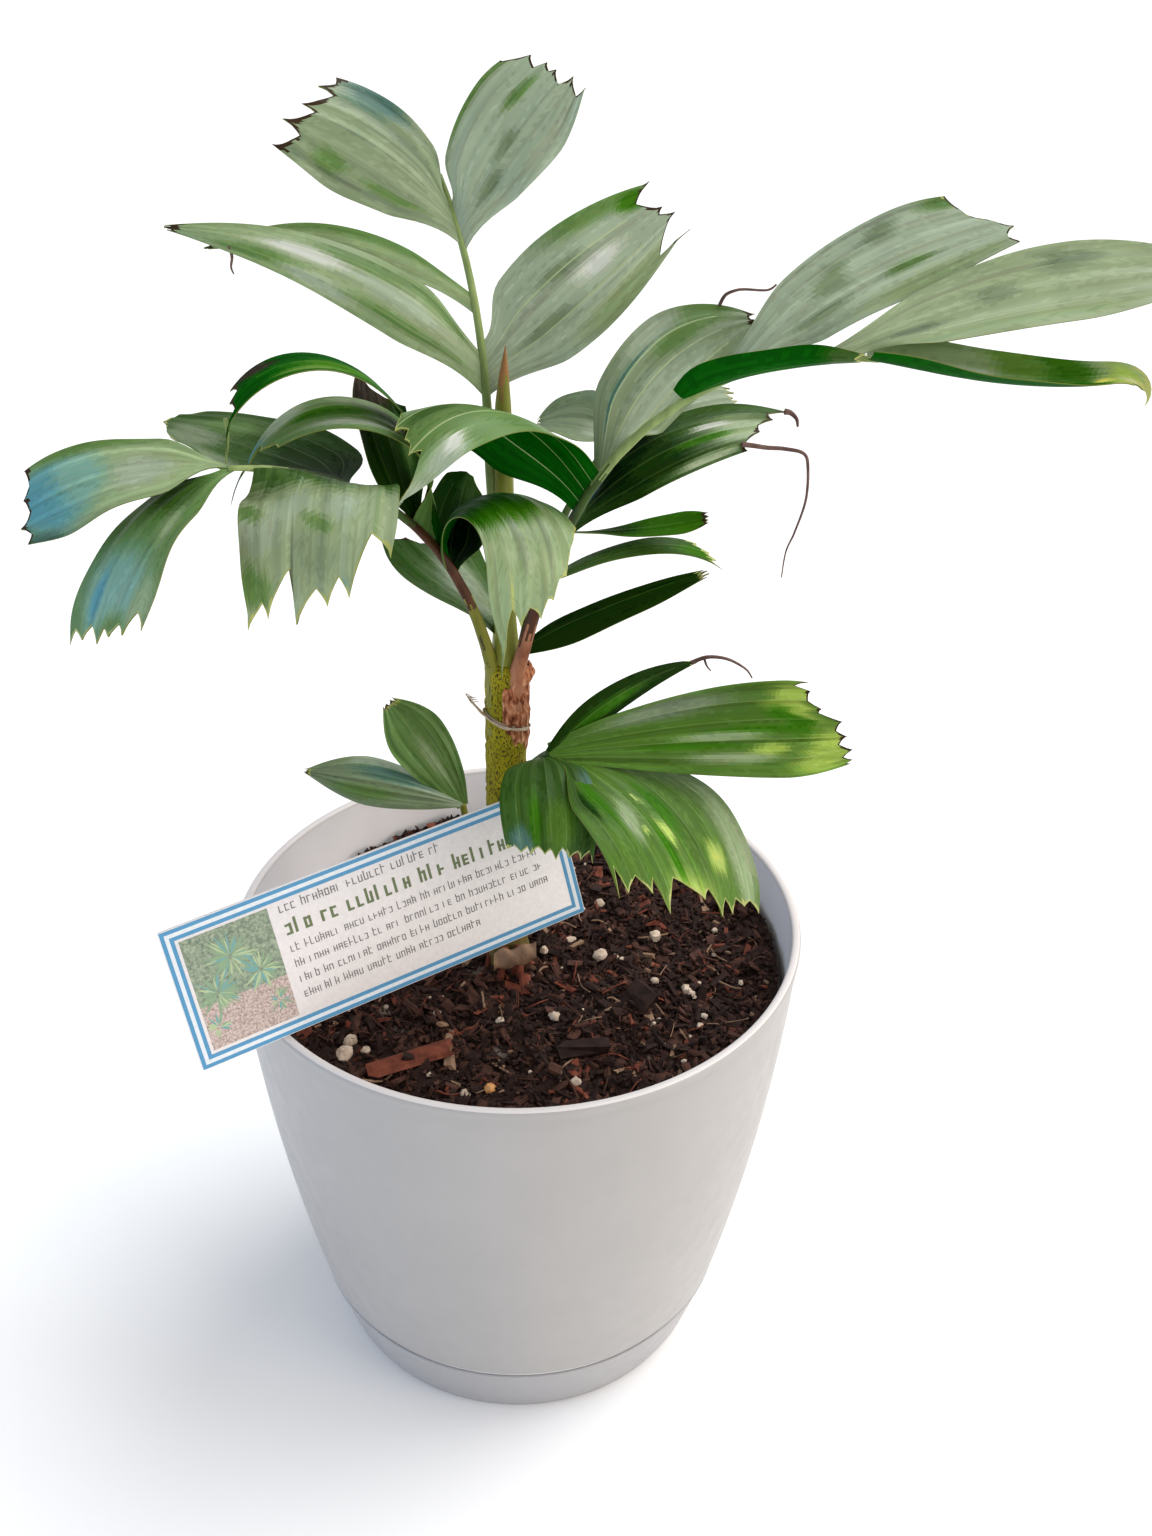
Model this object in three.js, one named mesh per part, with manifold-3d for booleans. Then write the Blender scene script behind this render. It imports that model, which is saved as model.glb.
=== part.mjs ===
// Potted walking stick palm: a young palm with five jagged fronds, a small side shoot and a label,
// growing in a tall tapering pot that stands on its own saucer.
// Millimetres. +Z is up, +X to the right and -Y towards the viewer. The origin is the centre of
// the saucer's underside.
import * as THREE from 'three';
import Module from 'manifold-3d';

const wasm = await Module();
wasm.setup();

// Pot and saucer
const POT_HEIGHT = 180;
const RIM_RADIUS = 100;
const SEAM_HEIGHT = 28;
const SEAM_RADIUS = 79;
const FOOT_RADIUS = 70.5;
const FOOT_ROUND = 2;
const WALL = 2.6;
const WALL_BELLY = 0.61;
const RIM_ROUND = 1.6;
const SAUCER_WALL = 2.2;
const SAUCER_FLOOR = 3;
const SEAM_LIP = 0.9;
const POT_FLOOR = 3;
const GAP = 0.3;
const ROUND_SIDES = 60;
const WALL_RINGS = 7;
const INSIDE_RINGS = 4;

// Soil
const SOIL_LEVEL = 157;
const SOIL_DOME = 3;
const SOIL_FLAT = 14;
const SOIL_RINGS = 5;
const SOIL_WALL_RINGS = 4;
const SOIL_CLEAR = 1.2;
const SOIL_SIDES = 40;

// Stem, young shoot and the dry sheath round the stem's top. The shoot's shoulder and waist are each
// a radius and a share of the way from its neck to its tip.
const STEM_X = -4;
const STEM_TOP = 284;
const STEM_RADIUS = 6.7;
const STEM_TOP_RADIUS = 6.9;
const STEM_FOOT_RADIUS = 8.2;
const STEM_FOOT_HEIGHT = 16;
const STEM_RING_STEP = 17;
const STEM_RING_SWELL = 0.28;
const STEM_RING_FIRST = 4;
const STEM_RING_CREST = 1;
const STEM_RING_WIDE = 2.4;
const STEM_TOP_ROUND = 2;
const STEM_SIDES = 18;
const SHOOT_TIP = 388;
const SHOOT_RADIUS = 3.5;
const SHOOT_NECK = 2.9;
const SHOOT_POINT_FROM = 0.72;
const SHOOT_SHOULDER = [2.7, 0.4];
const SHOOT_WAIST = [1.3, 0.78];
const SHEATH_LOW = 252;
const SHEATH_THICK = 1.1;
const SHEATH_FROM = -98;
const SHEATH_TO = 62;
const SHEATH_STEPS = 10;
const SHEATH_SCOOP = 8;
const SHEATH_DROP = 9;
const SHEATH_CREST = 7;

// Leaves
const LEAF_THICK = 1.1;
const LEAF_ROWS = 7;
const LEAF_COLUMNS = 4;
const WIDE_LEAF = 24;
const WIDE_COLUMNS = 6;
const RIB_STEPS = 12;
const RIB_SIDES = 7;
const PATH_STEPS = 40;
const ROOT_BLEND = 0.3;
const TIP_FALL = 1.8;
const TOOTH = 3;
const HOOK_FROM = 0.8;

// Label: a card on a slim stake that leans back into the soil
const CARD_LONG = 139.5;
const CARD_TALL = 48.5;
const CARD_THICK = 1.4;
const CARD_FOOT = [-38.7, -46.2, 185.3];
const CARD_HEADING = 27.5;
const CARD_RISE = 5.6;
const CARD_LEAN = 19.2;
const STAKE_RADIUS = 1.8;
const STAKE_TOP = [0.04, 0.7];
const STAKE_FOOT = [-30, 12];

const COLOURS = {
  pot: 0xd8d6d2,
  saucer: 0xd2d0cc,
  soil: 0x33241d,
  stem: 0x75784a,
  dry: 0x9b6750,
  shoot: 0x7c8a4a,
  leaf: 0x5f8f55,
  lowLeaf: 0x5c9440,
  sideLeaf: 0x4c6b3c,
  label: 0xd9d3d0,
};

// A limb starts at a point and turns from one heading and rise to another over its length.
// Heading is the angle round Z from +X, rise the angle above level, both in degrees.
const LIMBS = {
  top: {
    start: [-8.4, 1, 358],
    long: 79,
    heading: [105, 125],
    rise: [84, 50],
    ease: 1,
    radius: [1.6, 0.9],
  },
  right: {
    start: [0, -5, 283],
    long: 170,
    heading: [-32, 8],
    rise: [75, -12],
    ease: 2,
    radius: [2.7, 0.9],
  },
  left: {
    start: [-8, -3, 281],
    long: 134,
    heading: [-136, -150],
    rise: [76, 8],
    ease: 1.3,
    radius: [2.9, 0.9],
  },
  back: {
    start: [1, 5, 281],
    long: 88,
    heading: [70, 40],
    rise: [62, 30],
    ease: 1,
    radius: [2.2, 0.9],
  },
  low: {
    start: [1, -6, 240],
    long: 38,
    heading: [-78, -64],
    rise: [52, 40],
    ease: 1,
    radius: [2, 1.1],
  },
  side: {
    start: [-17, 45, 0],
    long: 38,
    heading: [180, 170],
    rise: [88, 80],
    ease: 1,
    radius: [1.6, 1.2],
  },
};

// A leaflet grows from its limb at a distance along it. Its width rises from the root share to
// full width at the full share of its length and falls to the tip share; it turns and rolls about
// its midrib on the way, and its two halves cup. A slant shortens the leaflet's right side, or its
// left side where it is negative. A hook turns the last part of the leaflet by that rise.
const LEAFLETS = {
  top: [
    { at: 64, long: 60, wide: 31, heading: [187, 187], rise: [53, 16], roll: [64, 58],
      root: 0.45, full: 0.65, tip: 0.65, cup: -0.2, span: 14, slant: 0.15 },
    { at: 62, long: 55, wide: 30, heading: [18, 9], rise: [68, 40], roll: [-60, -67],
      root: 0.4, full: 0.65, tip: 0.55, span: 14, slant: -0.1 },
    { at: 40, long: 81, wide: 10, heading: [177, 189], rise: [39, -13], roll: [52, 53],
      root: 0.35, full: 0.55, tip: 0.05, span: 6 },
    { at: 19, long: 103, wide: 19, heading: [191, 172], rise: [56, 2], roll: [53, 56],
      root: 0.45, full: 0.3, tip: 0.05, ease: 0.8, cup: -0.2, span: 13 },
    { at: 21, long: 71, wide: 33, heading: [21, 23], rise: [42, 30], roll: [-62, -69],
      root: 0.62, full: 0.5, tip: 0.55, cup: -0.1, span: 16 },
  ],
  right: [
    { at: 80, long: 67, wide: 27, heading: [57, 11], rise: [61, 7], roll: [-50, -49],
      root: 0.6, full: 0.6, tip: 0.15, span: 16 },
    { at: 128, long: 95, wide: 26, heading: [29, 2], rise: [40, 9], roll: [-47, -38],
      root: 0.45, full: 0.65, tip: 0.55, span: 14, slant: -0.2 },
    { at: 157, long: 100, wide: 23, heading: [10, 3], rise: [23, 1], roll: [-40, -50],
      root: 0.4, full: 0.7, tip: 0.55, cup: 0.1, span: 12 },
    { at: 114, long: 52, wide: 14, heading: [-36, -2], rise: [45, 1], roll: [29, 50],
      root: 0.6, full: 0.2, tip: 0.25, ease: 0.6, cup: 0.6 },
    { at: 167, long: 82, wide: 17, heading: [-2, -9], rise: [-9, 23], roll: [8, -34],
      root: 0.6, full: 0.2, tip: 0.15, ease: 2.5, cup: 0.6, slant: 0.1, hook: -140 },
    { at: 56, long: 84, wide: 20, heading: [36, 19], rise: [37, -10], roll: [-41, -36],
      root: 0.4, full: 0.5, tip: 0.55, span: 14, slant: 0.2 },
    { at: 70, long: 94, wide: 34, heading: [187, 245], rise: [57, -63], roll: [-72, 25],
      root: 0.6, full: 0.7, tip: 0.6, ease: 1.6, cup: -0.55, span: 16, slant: 0.45 },
  ],
  left: [
    { at: 50, long: 91, wide: 36, heading: [-4, -101], rise: [97, -140], roll: [0, 20],
      root: 0.4, full: 0.5, tip: 0.7, cup: -0.2, slant: -0.45, hook: 70 },
    { at: 55, long: 110, wide: 12, heading: [206, 200], rise: [87, -70], roll: [-15, 18],
      root: 0.3, full: 0.75, tip: 0.4, ease: 2, span: 18, slant: 0.1 },
    { at: 62, long: 86, wide: 18, heading: [215, 195], rise: [114, -53], roll: [9, 16],
      root: 0.55, full: 0.6, tip: 0.05, cup: 0.1, span: 14, slant: -0.1 },
    { at: 100, long: 70, wide: 40, heading: [114, 170], rise: [-4, 7], roll: [-10, 10],
      root: 0.55, full: 0.25, tip: 0.4, ease: 0.9, span: 11 },
    { at: 133, long: 61, wide: 28, heading: [183, 186], rise: [10, -35], roll: [22, 31],
      root: 0.25, full: 0.75, tip: 0.7, span: 6, slant: 0.1 },
    { at: 133, long: 63, wide: 28, heading: [213, 230], rise: [-6, -69], roll: [-5, 2],
      root: 0.35, full: 0.6, tip: 0.85, ease: 0.8, span: 6, slant: -0.15 },
    { at: 46, long: 30, wide: 23, heading: [67, 47], rise: [81, 51], roll: [7, -3],
      root: 0.5, full: 0.45, tip: 0.45, cup: 0.1, span: 9, slant: 0.15 },
    { at: 103, long: 50, wide: 44, heading: [-91, -95], rise: [43, -83], roll: [-11, -2],
      root: 0.8, full: 0.35, tip: 0.85, ease: 0.6, span: 46, slant: -0.2 },
    { at: 65, long: 49, wide: 25, heading: [141, 129], rise: [62, 74], roll: [-15, -15],
      root: 0.4, full: 0.6, tip: 0.45, span: 8, slant: 0.3 },
  ],
  back: [
    { at: 3, long: 65, wide: 12, heading: [12, 13], rise: [22, 16], roll: [-25, -25],
      root: 0.3, full: 0.3, tip: 0.3 },
    { at: 25, long: 67, wide: 8, heading: [5, 18], rise: [28, -44], roll: [10, -44],
      root: 0.3, full: 0.3, tip: 0.45, ease: 1.8, cup: -0.1, slant: -0.15 },
    { at: 44, long: 50, wide: 9, heading: [-10, -10], rise: [-2, 17], roll: [30, -46],
      root: 0.2, full: 0.8, tip: 0.4, ease: 0.6 },
    { at: 2, long: 63, wide: 29, heading: [170, 126], rise: [58, 12], roll: [-22, 35],
      root: 0.4, full: 0.65, tip: 0.55, ease: 1.2, slant: 0.4 },
    { at: 83, long: 61, wide: 22, heading: [65, 61], rise: [46, 5], roll: [24, 18],
      root: 0.4, full: 0.4, tip: 0.45, cup: 0.2, slant: 0.25 },
    { at: 84, long: 29, wide: 21, heading: [168, 158], rise: [26, -25], roll: [38, 25],
      root: 0.2, full: 0.45, tip: 0.1, cup: 0.3 },
    { at: 84, long: 46, wide: 26, heading: [25, 30], rise: [30, -15], roll: [-35, -20],
      root: 0.3, full: 0.5, tip: 0.5 },
  ],
  low: [
    { at: 38, long: 60, wide: 9, heading: [31, 32], rise: [36, -4], roll: [-57, -54],
      root: 0.3, full: 0.35, tip: 0.1 },
    { at: 38, long: 100, wide: 31, heading: [5, 0], rise: [9, -3], roll: [-47, -54],
      root: 0.2, full: 0.75, tip: 0.6, slant: -0.2 },
    { at: 32, long: 89, wide: 56, heading: [-29, -52], rise: [12, -85], roll: [6, -2],
      root: 0.45, full: 0.6, tip: 0.9, span: 8, slant: 0.45 },
    { at: 32, long: 45, wide: 30, heading: [-89, -81], rise: [33, -92], roll: [6, -8],
      root: 0.45, full: 0.6, tip: 0.85, cup: -0.1, span: 8, slant: 0.1 },
  ],
  side: [
    { at: 37, long: 50, wide: 22, heading: [168, 168], rise: [63, 51], roll: [63, 52],
      root: 0.2, full: 0.65, tip: 0.2 },
    { at: 38, long: 60, wide: 18, heading: [195, 176], rise: [30, 5], roll: [35, 65],
      root: 0.15, full: 0.6, tip: 0.1, cup: -0.3 },
  ],
};

const group = new THREE.Group();
group.name = 'potted_walking_stick_palm';

const radians = THREE.MathUtils.degToRad;
const lerp = THREE.MathUtils.lerp;
const clamp01 = (v) => Math.min(1, Math.max(0, v));
const smooth = (v) => v * v * (3 - 2 * v);
const up = new THREE.Vector3(0, 0, 1);

// Solids as closed triangle lists

function solidFrom(points, faces) {
  const flat = new Float32Array(points.length * 3);
  points.forEach((p, i) => flat.set([p.x, p.y, p.z], i * 3));
  return new wasm.Manifold(
    new wasm.Mesh({ numProp: 3, vertProperties: flat, triVerts: new Uint32Array(faces.flat()) }),
  );
}

function addSolid(name, solid, colour) {
  const data = solid.getMesh();
  const geometry = new THREE.BufferGeometry();
  geometry.setAttribute('position', new THREE.BufferAttribute(data.vertProperties, 3));
  geometry.setIndex(new THREE.BufferAttribute(data.triVerts, 1));
  geometry.computeVertexNormals();
  const material = new THREE.MeshStandardMaterial({ color: colour, roughness: 0.6 });
  const mesh = new THREE.Mesh(geometry, material);
  mesh.name = name;
  group.add(mesh);
}

function largest(solid) {
  const bodies = solid.decompose();
  return bodies.reduce((a, b) => (b.volume() > a.volume() ? b : a));
}

// A body of revolution from a profile of [radius, height] pairs that starts and ends on the axis.
function turned(profile, sides, lift) {
  const points = [];
  const faces = [];
  const inner = profile.slice(1, -1);
  points.push(new THREE.Vector3(0, 0, profile[0][1]));
  for (const [radius, height] of inner) {
    for (let k = 0; k < sides; k += 1) {
      const angle = (2 * Math.PI * k) / sides;
      const rise = lift ? lift(radius, angle, height) : 0;
      const x = radius * Math.cos(angle);
      const y = radius * Math.sin(angle);
      points.push(new THREE.Vector3(x, y, height + rise));
    }
  }
  points.push(new THREE.Vector3(0, 0, profile[profile.length - 1][1]));
  const last = points.length - 1;
  for (let k = 0; k < sides; k += 1) {
    const next = (k + 1) % sides;
    faces.push([0, 1 + next, 1 + k]);
    const top = 1 + (inner.length - 1) * sides;
    faces.push([last, top + k, top + next]);
    for (let ring = 0; ring < inner.length - 1; ring += 1) {
      const a = 1 + ring * sides;
      const b = a + sides;
      faces.push([a + k, a + next, b + next]);
      faces.push([a + k, b + next, b + k]);
    }
  }
  return solidFrom(points, faces);
}

// A round rod along a line of points, closed at both ends.
function rod(line, radiusAt, sides) {
  const points = [line[0].clone()];
  const faces = [];
  let side = new THREE.Vector3(1, 0, 0);
  line.forEach((p, i) => {
    const before = line[Math.max(0, i - 1)];
    const after = line[Math.min(line.length - 1, i + 1)];
    const along = after.clone().sub(before).normalize();
    side = side.clone().sub(along.clone().multiplyScalar(side.dot(along))).normalize();
    const across = along.clone().cross(side);
    for (let k = 0; k < sides; k += 1) {
      const angle = (2 * Math.PI * k) / sides;
      const r = radiusAt(i / (line.length - 1));
      points.push(
        p.clone()
          .addScaledVector(side, r * Math.cos(angle))
          .addScaledVector(across, r * Math.sin(angle)),
      );
    }
  });
  points.push(line[line.length - 1].clone());
  const last = points.length - 1;
  for (let k = 0; k < sides; k += 1) {
    const next = (k + 1) % sides;
    faces.push([0, 1 + next, 1 + k]);
    const end = 1 + (line.length - 1) * sides;
    faces.push([last, end + k, end + next]);
    for (let ring = 0; ring < line.length - 1; ring += 1) {
      const a = 1 + ring * sides;
      const b = a + sides;
      faces.push([a + k, a + next, b + next]);
      faces.push([a + k, b + next, b + k]);
    }
  }
  return solidFrom(points, faces);
}

// Limbs and leaflets

function direction(heading, rise) {
  const level = Math.cos(rise);
  return new THREE.Vector3(
    level * Math.cos(heading),
    level * Math.sin(heading),
    Math.sin(rise),
  );
}

function path(start, long, heading, rise, ease, steps, hook = 0) {
  const angles = [];
  for (let i = 0; i <= steps; i += 1) {
    const share = (i / steps) ** ease;
    const curl = clamp01((i / steps - HOOK_FROM) / (1 - HOOK_FROM)) ** 2;
    angles.push({
      heading: radians(lerp(heading[0], heading[1], share)),
      rise: radians(lerp(rise[0], rise[1], share) + hook * curl),
    });
  }
  const points = [start.clone()];
  for (let i = 0; i < steps; i += 1) {
    const a = (angles[i].heading + angles[i + 1].heading) / 2;
    const e = (angles[i].rise + angles[i + 1].rise) / 2;
    points.push(points[i].clone().addScaledVector(direction(a, e), long / steps));
  }
  return { points, angles, long, steps };
}

function pointAt(line, distance) {
  const place = clamp01(distance / line.long) * line.steps;
  const i = Math.min(line.steps - 1, Math.floor(place));
  return line.points[i].clone().lerp(line.points[i + 1], place - i);
}

function widthShare(leaf, share) {
  if (share < leaf.full) {
    return lerp(leaf.root, 1, Math.sin((Math.PI / 2) * (share / leaf.full)));
  }
  return lerp(1, leaf.tip, ((share - leaf.full) / (1 - leaf.full)) ** TIP_FALL);
}

function leafSolid(leaf, limb) {
  const { cup = 0, span = 0, ease = 1, slant = 0, hook = 0 } = leaf;
  const columns = leaf.wide > WIDE_LEAF ? WIDE_COLUMNS : LEAF_COLUMNS;
  const start = pointAt(limb, leaf.at);
  const mid = path(start, leaf.long, leaf.heading, leaf.rise, ease, PATH_STEPS, hook);
  const ribWay = pointAt(limb, leaf.at + 1).sub(pointAt(limb, leaf.at - 1));
  let rootSign = 0;
  const upper = [];
  const lower = [];
  for (let i = 0; i <= LEAF_ROWS; i += 1) {
    for (let j = 0; j <= columns; j += 1) {
      const across = -1 + (2 * j) / columns;
      const notch = j % 2 === 1 && i === LEAF_ROWS ? TOOTH / leaf.long : 0;
      const end = 1 - (Math.abs(slant) + slant * across) / 2;
      const share = (i / LEAF_ROWS) * end - notch;
      const place = share * PATH_STEPS;
      const k = Math.min(PATH_STEPS - 1, Math.floor(place));
      const a = lerp(mid.angles[k].heading, mid.angles[k + 1].heading, place - k);
      const e = lerp(mid.angles[k].rise, mid.angles[k + 1].rise, place - k);
      const forward = direction(a, e);
      const right = new THREE.Vector3(Math.sin(a), -Math.cos(a), 0);
      const above = right.clone().cross(forward);
      const r = radians(lerp(leaf.roll[0], leaf.roll[1], share));
      const side = right.clone().multiplyScalar(Math.cos(r)).addScaledVector(above, Math.sin(r));
      const normal = above.multiplyScalar(Math.cos(r)).addScaledVector(right, -Math.sin(r));
      if (rootSign === 0) {
        rootSign = side.dot(ribWay) >= 0 ? 1 : -1;
      }
      const half = (leaf.wide / 2) * widthShare(leaf, share);
      const centre = pointAt(mid, share * leaf.long);
      const p = centre.clone()
        .addScaledVector(side, across * half)
        .addScaledVector(normal, cup * half * across * across);
      if (span > 0) {
        const onRib = pointAt(limb, leaf.at + (rootSign * across * span) / 2);
        const blend = 1 - smooth(clamp01(share / ROOT_BLEND));
        p.lerp(onRib.add(centre).sub(start), blend);
      }
      upper.push(p.clone());
      lower.push(p);
    }
  }
  const width = columns + 1;
  const total = upper.length;
  // The blade's own normal at each point, from its neighbours along and across
  const blade = upper.map((p) => p.clone());
  for (let i = 0; i <= LEAF_ROWS; i += 1) {
    for (let j = 0; j <= columns; j += 1) {
      const n = i * width + j;
      const before = blade[Math.max(0, i - 1) * width + j];
      const after = blade[Math.min(LEAF_ROWS, i + 1) * width + j];
      const left = blade[i * width + Math.max(0, j - 1)];
      const rightward = blade[i * width + Math.min(columns, j + 1)];
      const normal = rightward.clone().sub(left).cross(after.clone().sub(before)).normalize();
      upper[n].addScaledVector(normal, LEAF_THICK / 2);
      lower[n].addScaledVector(normal, -LEAF_THICK / 2);
    }
  }
  const faces = [];
  const quad = (a, b, c, d) => faces.push([a, b, c], [a, c, d]);
  for (let i = 0; i < LEAF_ROWS; i += 1) {
    for (let j = 0; j < columns; j += 1) {
      const a = i * width + j;
      quad(a, a + 1, a + width + 1, a + width);
      quad(total + a, total + a + width, total + a + width + 1, total + a + 1);
    }
    const leftEdge = i * width;
    const rightEdge = leftEdge + columns;
    quad(leftEdge, leftEdge + width, total + leftEdge + width, total + leftEdge);
    quad(rightEdge, total + rightEdge, total + rightEdge + width, rightEdge + width);
  }
  for (let j = 0; j < columns; j += 1) {
    const end = LEAF_ROWS * width + j;
    quad(j, total + j, total + j + 1, j + 1);
    quad(end, end + 1, total + end + 1, total + end);
  }
  return solidFrom([...upper, ...lower], faces);
}

function soilHeight(radius) {
  const outward = clamp01((radius - SOIL_FLAT) / (RIM_RADIUS - SOIL_FLAT));
  return SOIL_LEVEL + SOIL_DOME * (1 - outward * outward);
}

function wallRadius(height) {
  const share = (height - SEAM_HEIGHT) / (POT_HEIGHT - SEAM_HEIGHT);
  const swell = share + WALL_BELLY * share * (1 - share);
  return lerp(SEAM_RADIUS, RIM_RADIUS, swell);
}

function saucerRadius(height) {
  return lerp(FOOT_RADIUS, SEAM_RADIUS, height / SEAM_HEIGHT);
}

// Saucer
const footCorner = (1 - Math.SQRT1_2) * FOOT_ROUND;
const saucerInside = SEAM_RADIUS - SEAM_LIP - SAUCER_WALL;
const saucer = turned(
  [
    [0, 0],
    [FOOT_RADIUS - FOOT_ROUND, 0],
    [FOOT_RADIUS - footCorner, footCorner],
    [saucerRadius(FOOT_ROUND), FOOT_ROUND],
    [SEAM_RADIUS, SEAM_HEIGHT - SEAM_LIP],
    [SEAM_RADIUS - SEAM_LIP, SEAM_HEIGHT],
    [saucerInside, SEAM_HEIGHT],
    [saucerRadius(SAUCER_FLOOR) - SAUCER_WALL - SEAM_LIP, SAUCER_FLOOR],
    [0, SAUCER_FLOOR],
  ],
  ROUND_SIDES,
);
addSolid('saucer', saucer, COLOURS.saucer);

// Pot: its lower end sits in the saucer, and its shoulder rests on the saucer's lip
const plugTop = saucerInside - GAP;
const plugFoot = saucerRadius(SAUCER_FLOOR) - SAUCER_WALL - SEAM_LIP - GAP;
const potBase = SAUCER_FLOOR + GAP;
const potProfile = [
  [0, potBase],
  [plugFoot, potBase],
  [plugTop, SEAM_HEIGHT + GAP],
];
for (let i = 0; i <= WALL_RINGS; i += 1) {
  const height = lerp(SEAM_HEIGHT + GAP, POT_HEIGHT - RIM_ROUND, i / WALL_RINGS);
  potProfile.push([wallRadius(height) - (i === 0 ? SEAM_LIP : 0), height]);
}
potProfile.push([RIM_RADIUS - RIM_ROUND / 2, POT_HEIGHT]);
potProfile.push([RIM_RADIUS - RIM_ROUND - WALL, POT_HEIGHT]);
for (let i = 0; i <= INSIDE_RINGS; i += 1) {
  const height = lerp(POT_HEIGHT - RIM_ROUND, SEAM_HEIGHT, i / INSIDE_RINGS);
  potProfile.push([wallRadius(height) - WALL - RIM_ROUND * (i === INSIDE_RINGS ? 1 : 0), height]);
}
potProfile.push([plugFoot - WALL, potBase + POT_FLOOR]);
potProfile.push([0, potBase + POT_FLOOR]);
addSolid('pot', turned(potProfile, ROUND_SIDES), COLOURS.pot);

// Soil: fills the pot to a little below the rim, slightly heaped towards the stem
const soilFoot = potBase + POT_FLOOR + GAP;
const soilProfile = [
  [0, soilFoot],
  [plugFoot - WALL - 2 * GAP, soilFoot],
  [wallRadius(SEAM_HEIGHT) - WALL - RIM_ROUND - 2 * GAP, SEAM_HEIGHT],
];
for (let i = 1; i <= SOIL_WALL_RINGS; i += 1) {
  const height = lerp(SEAM_HEIGHT, SOIL_LEVEL, i / SOIL_WALL_RINGS);
  const inner = wallRadius(height) - WALL;
  soilProfile.push([inner - SOIL_CLEAR, height]);
}
const soilEdge = soilProfile[soilProfile.length - 1][0];
for (let i = 1; i <= SOIL_RINGS; i += 1) {
  const radius = lerp(soilEdge, SOIL_FLAT, i / SOIL_RINGS);
  soilProfile.push([radius, soilHeight(radius)]);
}
soilProfile.push([0, SOIL_LEVEL + SOIL_DOME]);
addSolid('soil', turned(soilProfile, SOIL_SIDES), COLOURS.soil);

// Stem: ringed by old leaf scars, a little wider at its foot, cut flat at the soil
function stemRadius(height) {
  const foot = SOIL_LEVEL + SOIL_DOME;
  const share = (height - foot) / (STEM_TOP - foot);
  const flare = Math.max(0, 1 - (height - foot) / STEM_FOOT_HEIGHT) ** 2;
  const body = lerp(STEM_RADIUS, STEM_TOP_RADIUS, share);
  return body + (STEM_FOOT_RADIUS - STEM_RADIUS) * flare;
}

function stemSolid(grow) {
  const foot = SOIL_LEVEL + SOIL_DOME + GAP - grow;
  const profile = [[0, foot], [stemRadius(foot) + grow, foot]];
  const from = foot + STEM_RING_FIRST;
  for (let height = from; height < STEM_TOP - STEM_RING_FIRST; height += STEM_RING_STEP) {
    profile.push([stemRadius(height) + grow, height]);
    profile.push([stemRadius(height) + STEM_RING_SWELL + grow, height + STEM_RING_CREST]);
    profile.push([stemRadius(height) + grow, height + STEM_RING_WIDE]);
  }
  profile.push([STEM_TOP_RADIUS + grow, STEM_TOP - STEM_TOP_ROUND]);
  profile.push([STEM_TOP_RADIUS - STEM_TOP_ROUND + grow, STEM_TOP + grow]);
  profile.push([0, STEM_TOP + grow]);
  return turned(profile, STEM_SIDES).translate([STEM_X, 0, 0]);
}

function shootSolid(grow) {
  const foot = STEM_TOP + 2 * GAP - grow;
  const neck = lerp(STEM_TOP, SHOOT_TIP, SHOOT_POINT_FROM);
  return turned(
    [
      [0, foot],
      [SHOOT_RADIUS + grow, foot],
      [SHOOT_NECK + grow, neck],
      [SHOOT_SHOULDER[0] + grow, lerp(neck, SHOOT_TIP, SHOOT_SHOULDER[1])],
      [SHOOT_WAIST[0] + grow, lerp(neck, SHOOT_TIP, SHOOT_WAIST[1])],
      [0, SHOOT_TIP + grow],
    ],
    STEM_SIDES,
  ).translate([STEM_X, 0, 0]);
}

addSolid('stem', stemSolid(0), COLOURS.stem);
addSolid('young_shoot', shootSolid(0), COLOURS.shoot);

// Dry sheath: a papery flap round the right front of the stem's top, highest in its middle
function sheathSolid() {
  const points = [];
  const faces = [];
  for (let i = 0; i <= SHEATH_STEPS; i += 1) {
    const share = i / SHEATH_STEPS;
    const angle = radians(lerp(SHEATH_FROM, SHEATH_TO, share));
    const arch = Math.sin(Math.PI * share);
    const low = SHEATH_LOW + SHEATH_SCOOP * (1 - arch);
    const high = STEM_TOP - SHEATH_DROP + SHEATH_CREST * arch;
    const inside = STEM_TOP_RADIUS + STEM_RING_SWELL + GAP;
    for (const [radius, height] of [
      [inside, low],
      [inside + SHEATH_THICK, low],
      [inside + SHEATH_THICK, high],
      [inside, high],
    ]) {
      points.push(
        new THREE.Vector3(STEM_X + radius * Math.cos(angle), radius * Math.sin(angle), height),
      );
    }
  }
  const quad = (a, b, c, d) => faces.push([a, b, c], [a, c, d]);
  for (let i = 0; i < SHEATH_STEPS; i += 1) {
    const n = 4 * i;
    for (let k = 0; k < 4; k += 1) {
      const next = (k + 1) % 4;
      quad(n + k, n + 4 + k, n + 4 + next, n + next);
    }
  }
  const end = 4 * SHEATH_STEPS;
  quad(0, 1, 2, 3);
  quad(end + 3, end + 2, end + 1, end);
  return solidFrom(points, faces);
}
addSolid('dry_sheath', sheathSolid(), COLOURS.dry);

// Fronds: petiole and rib with their leaflets, each a single body that stays clear of the stem
const trunk = stemSolid(GAP).add(shootSolid(GAP));

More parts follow.
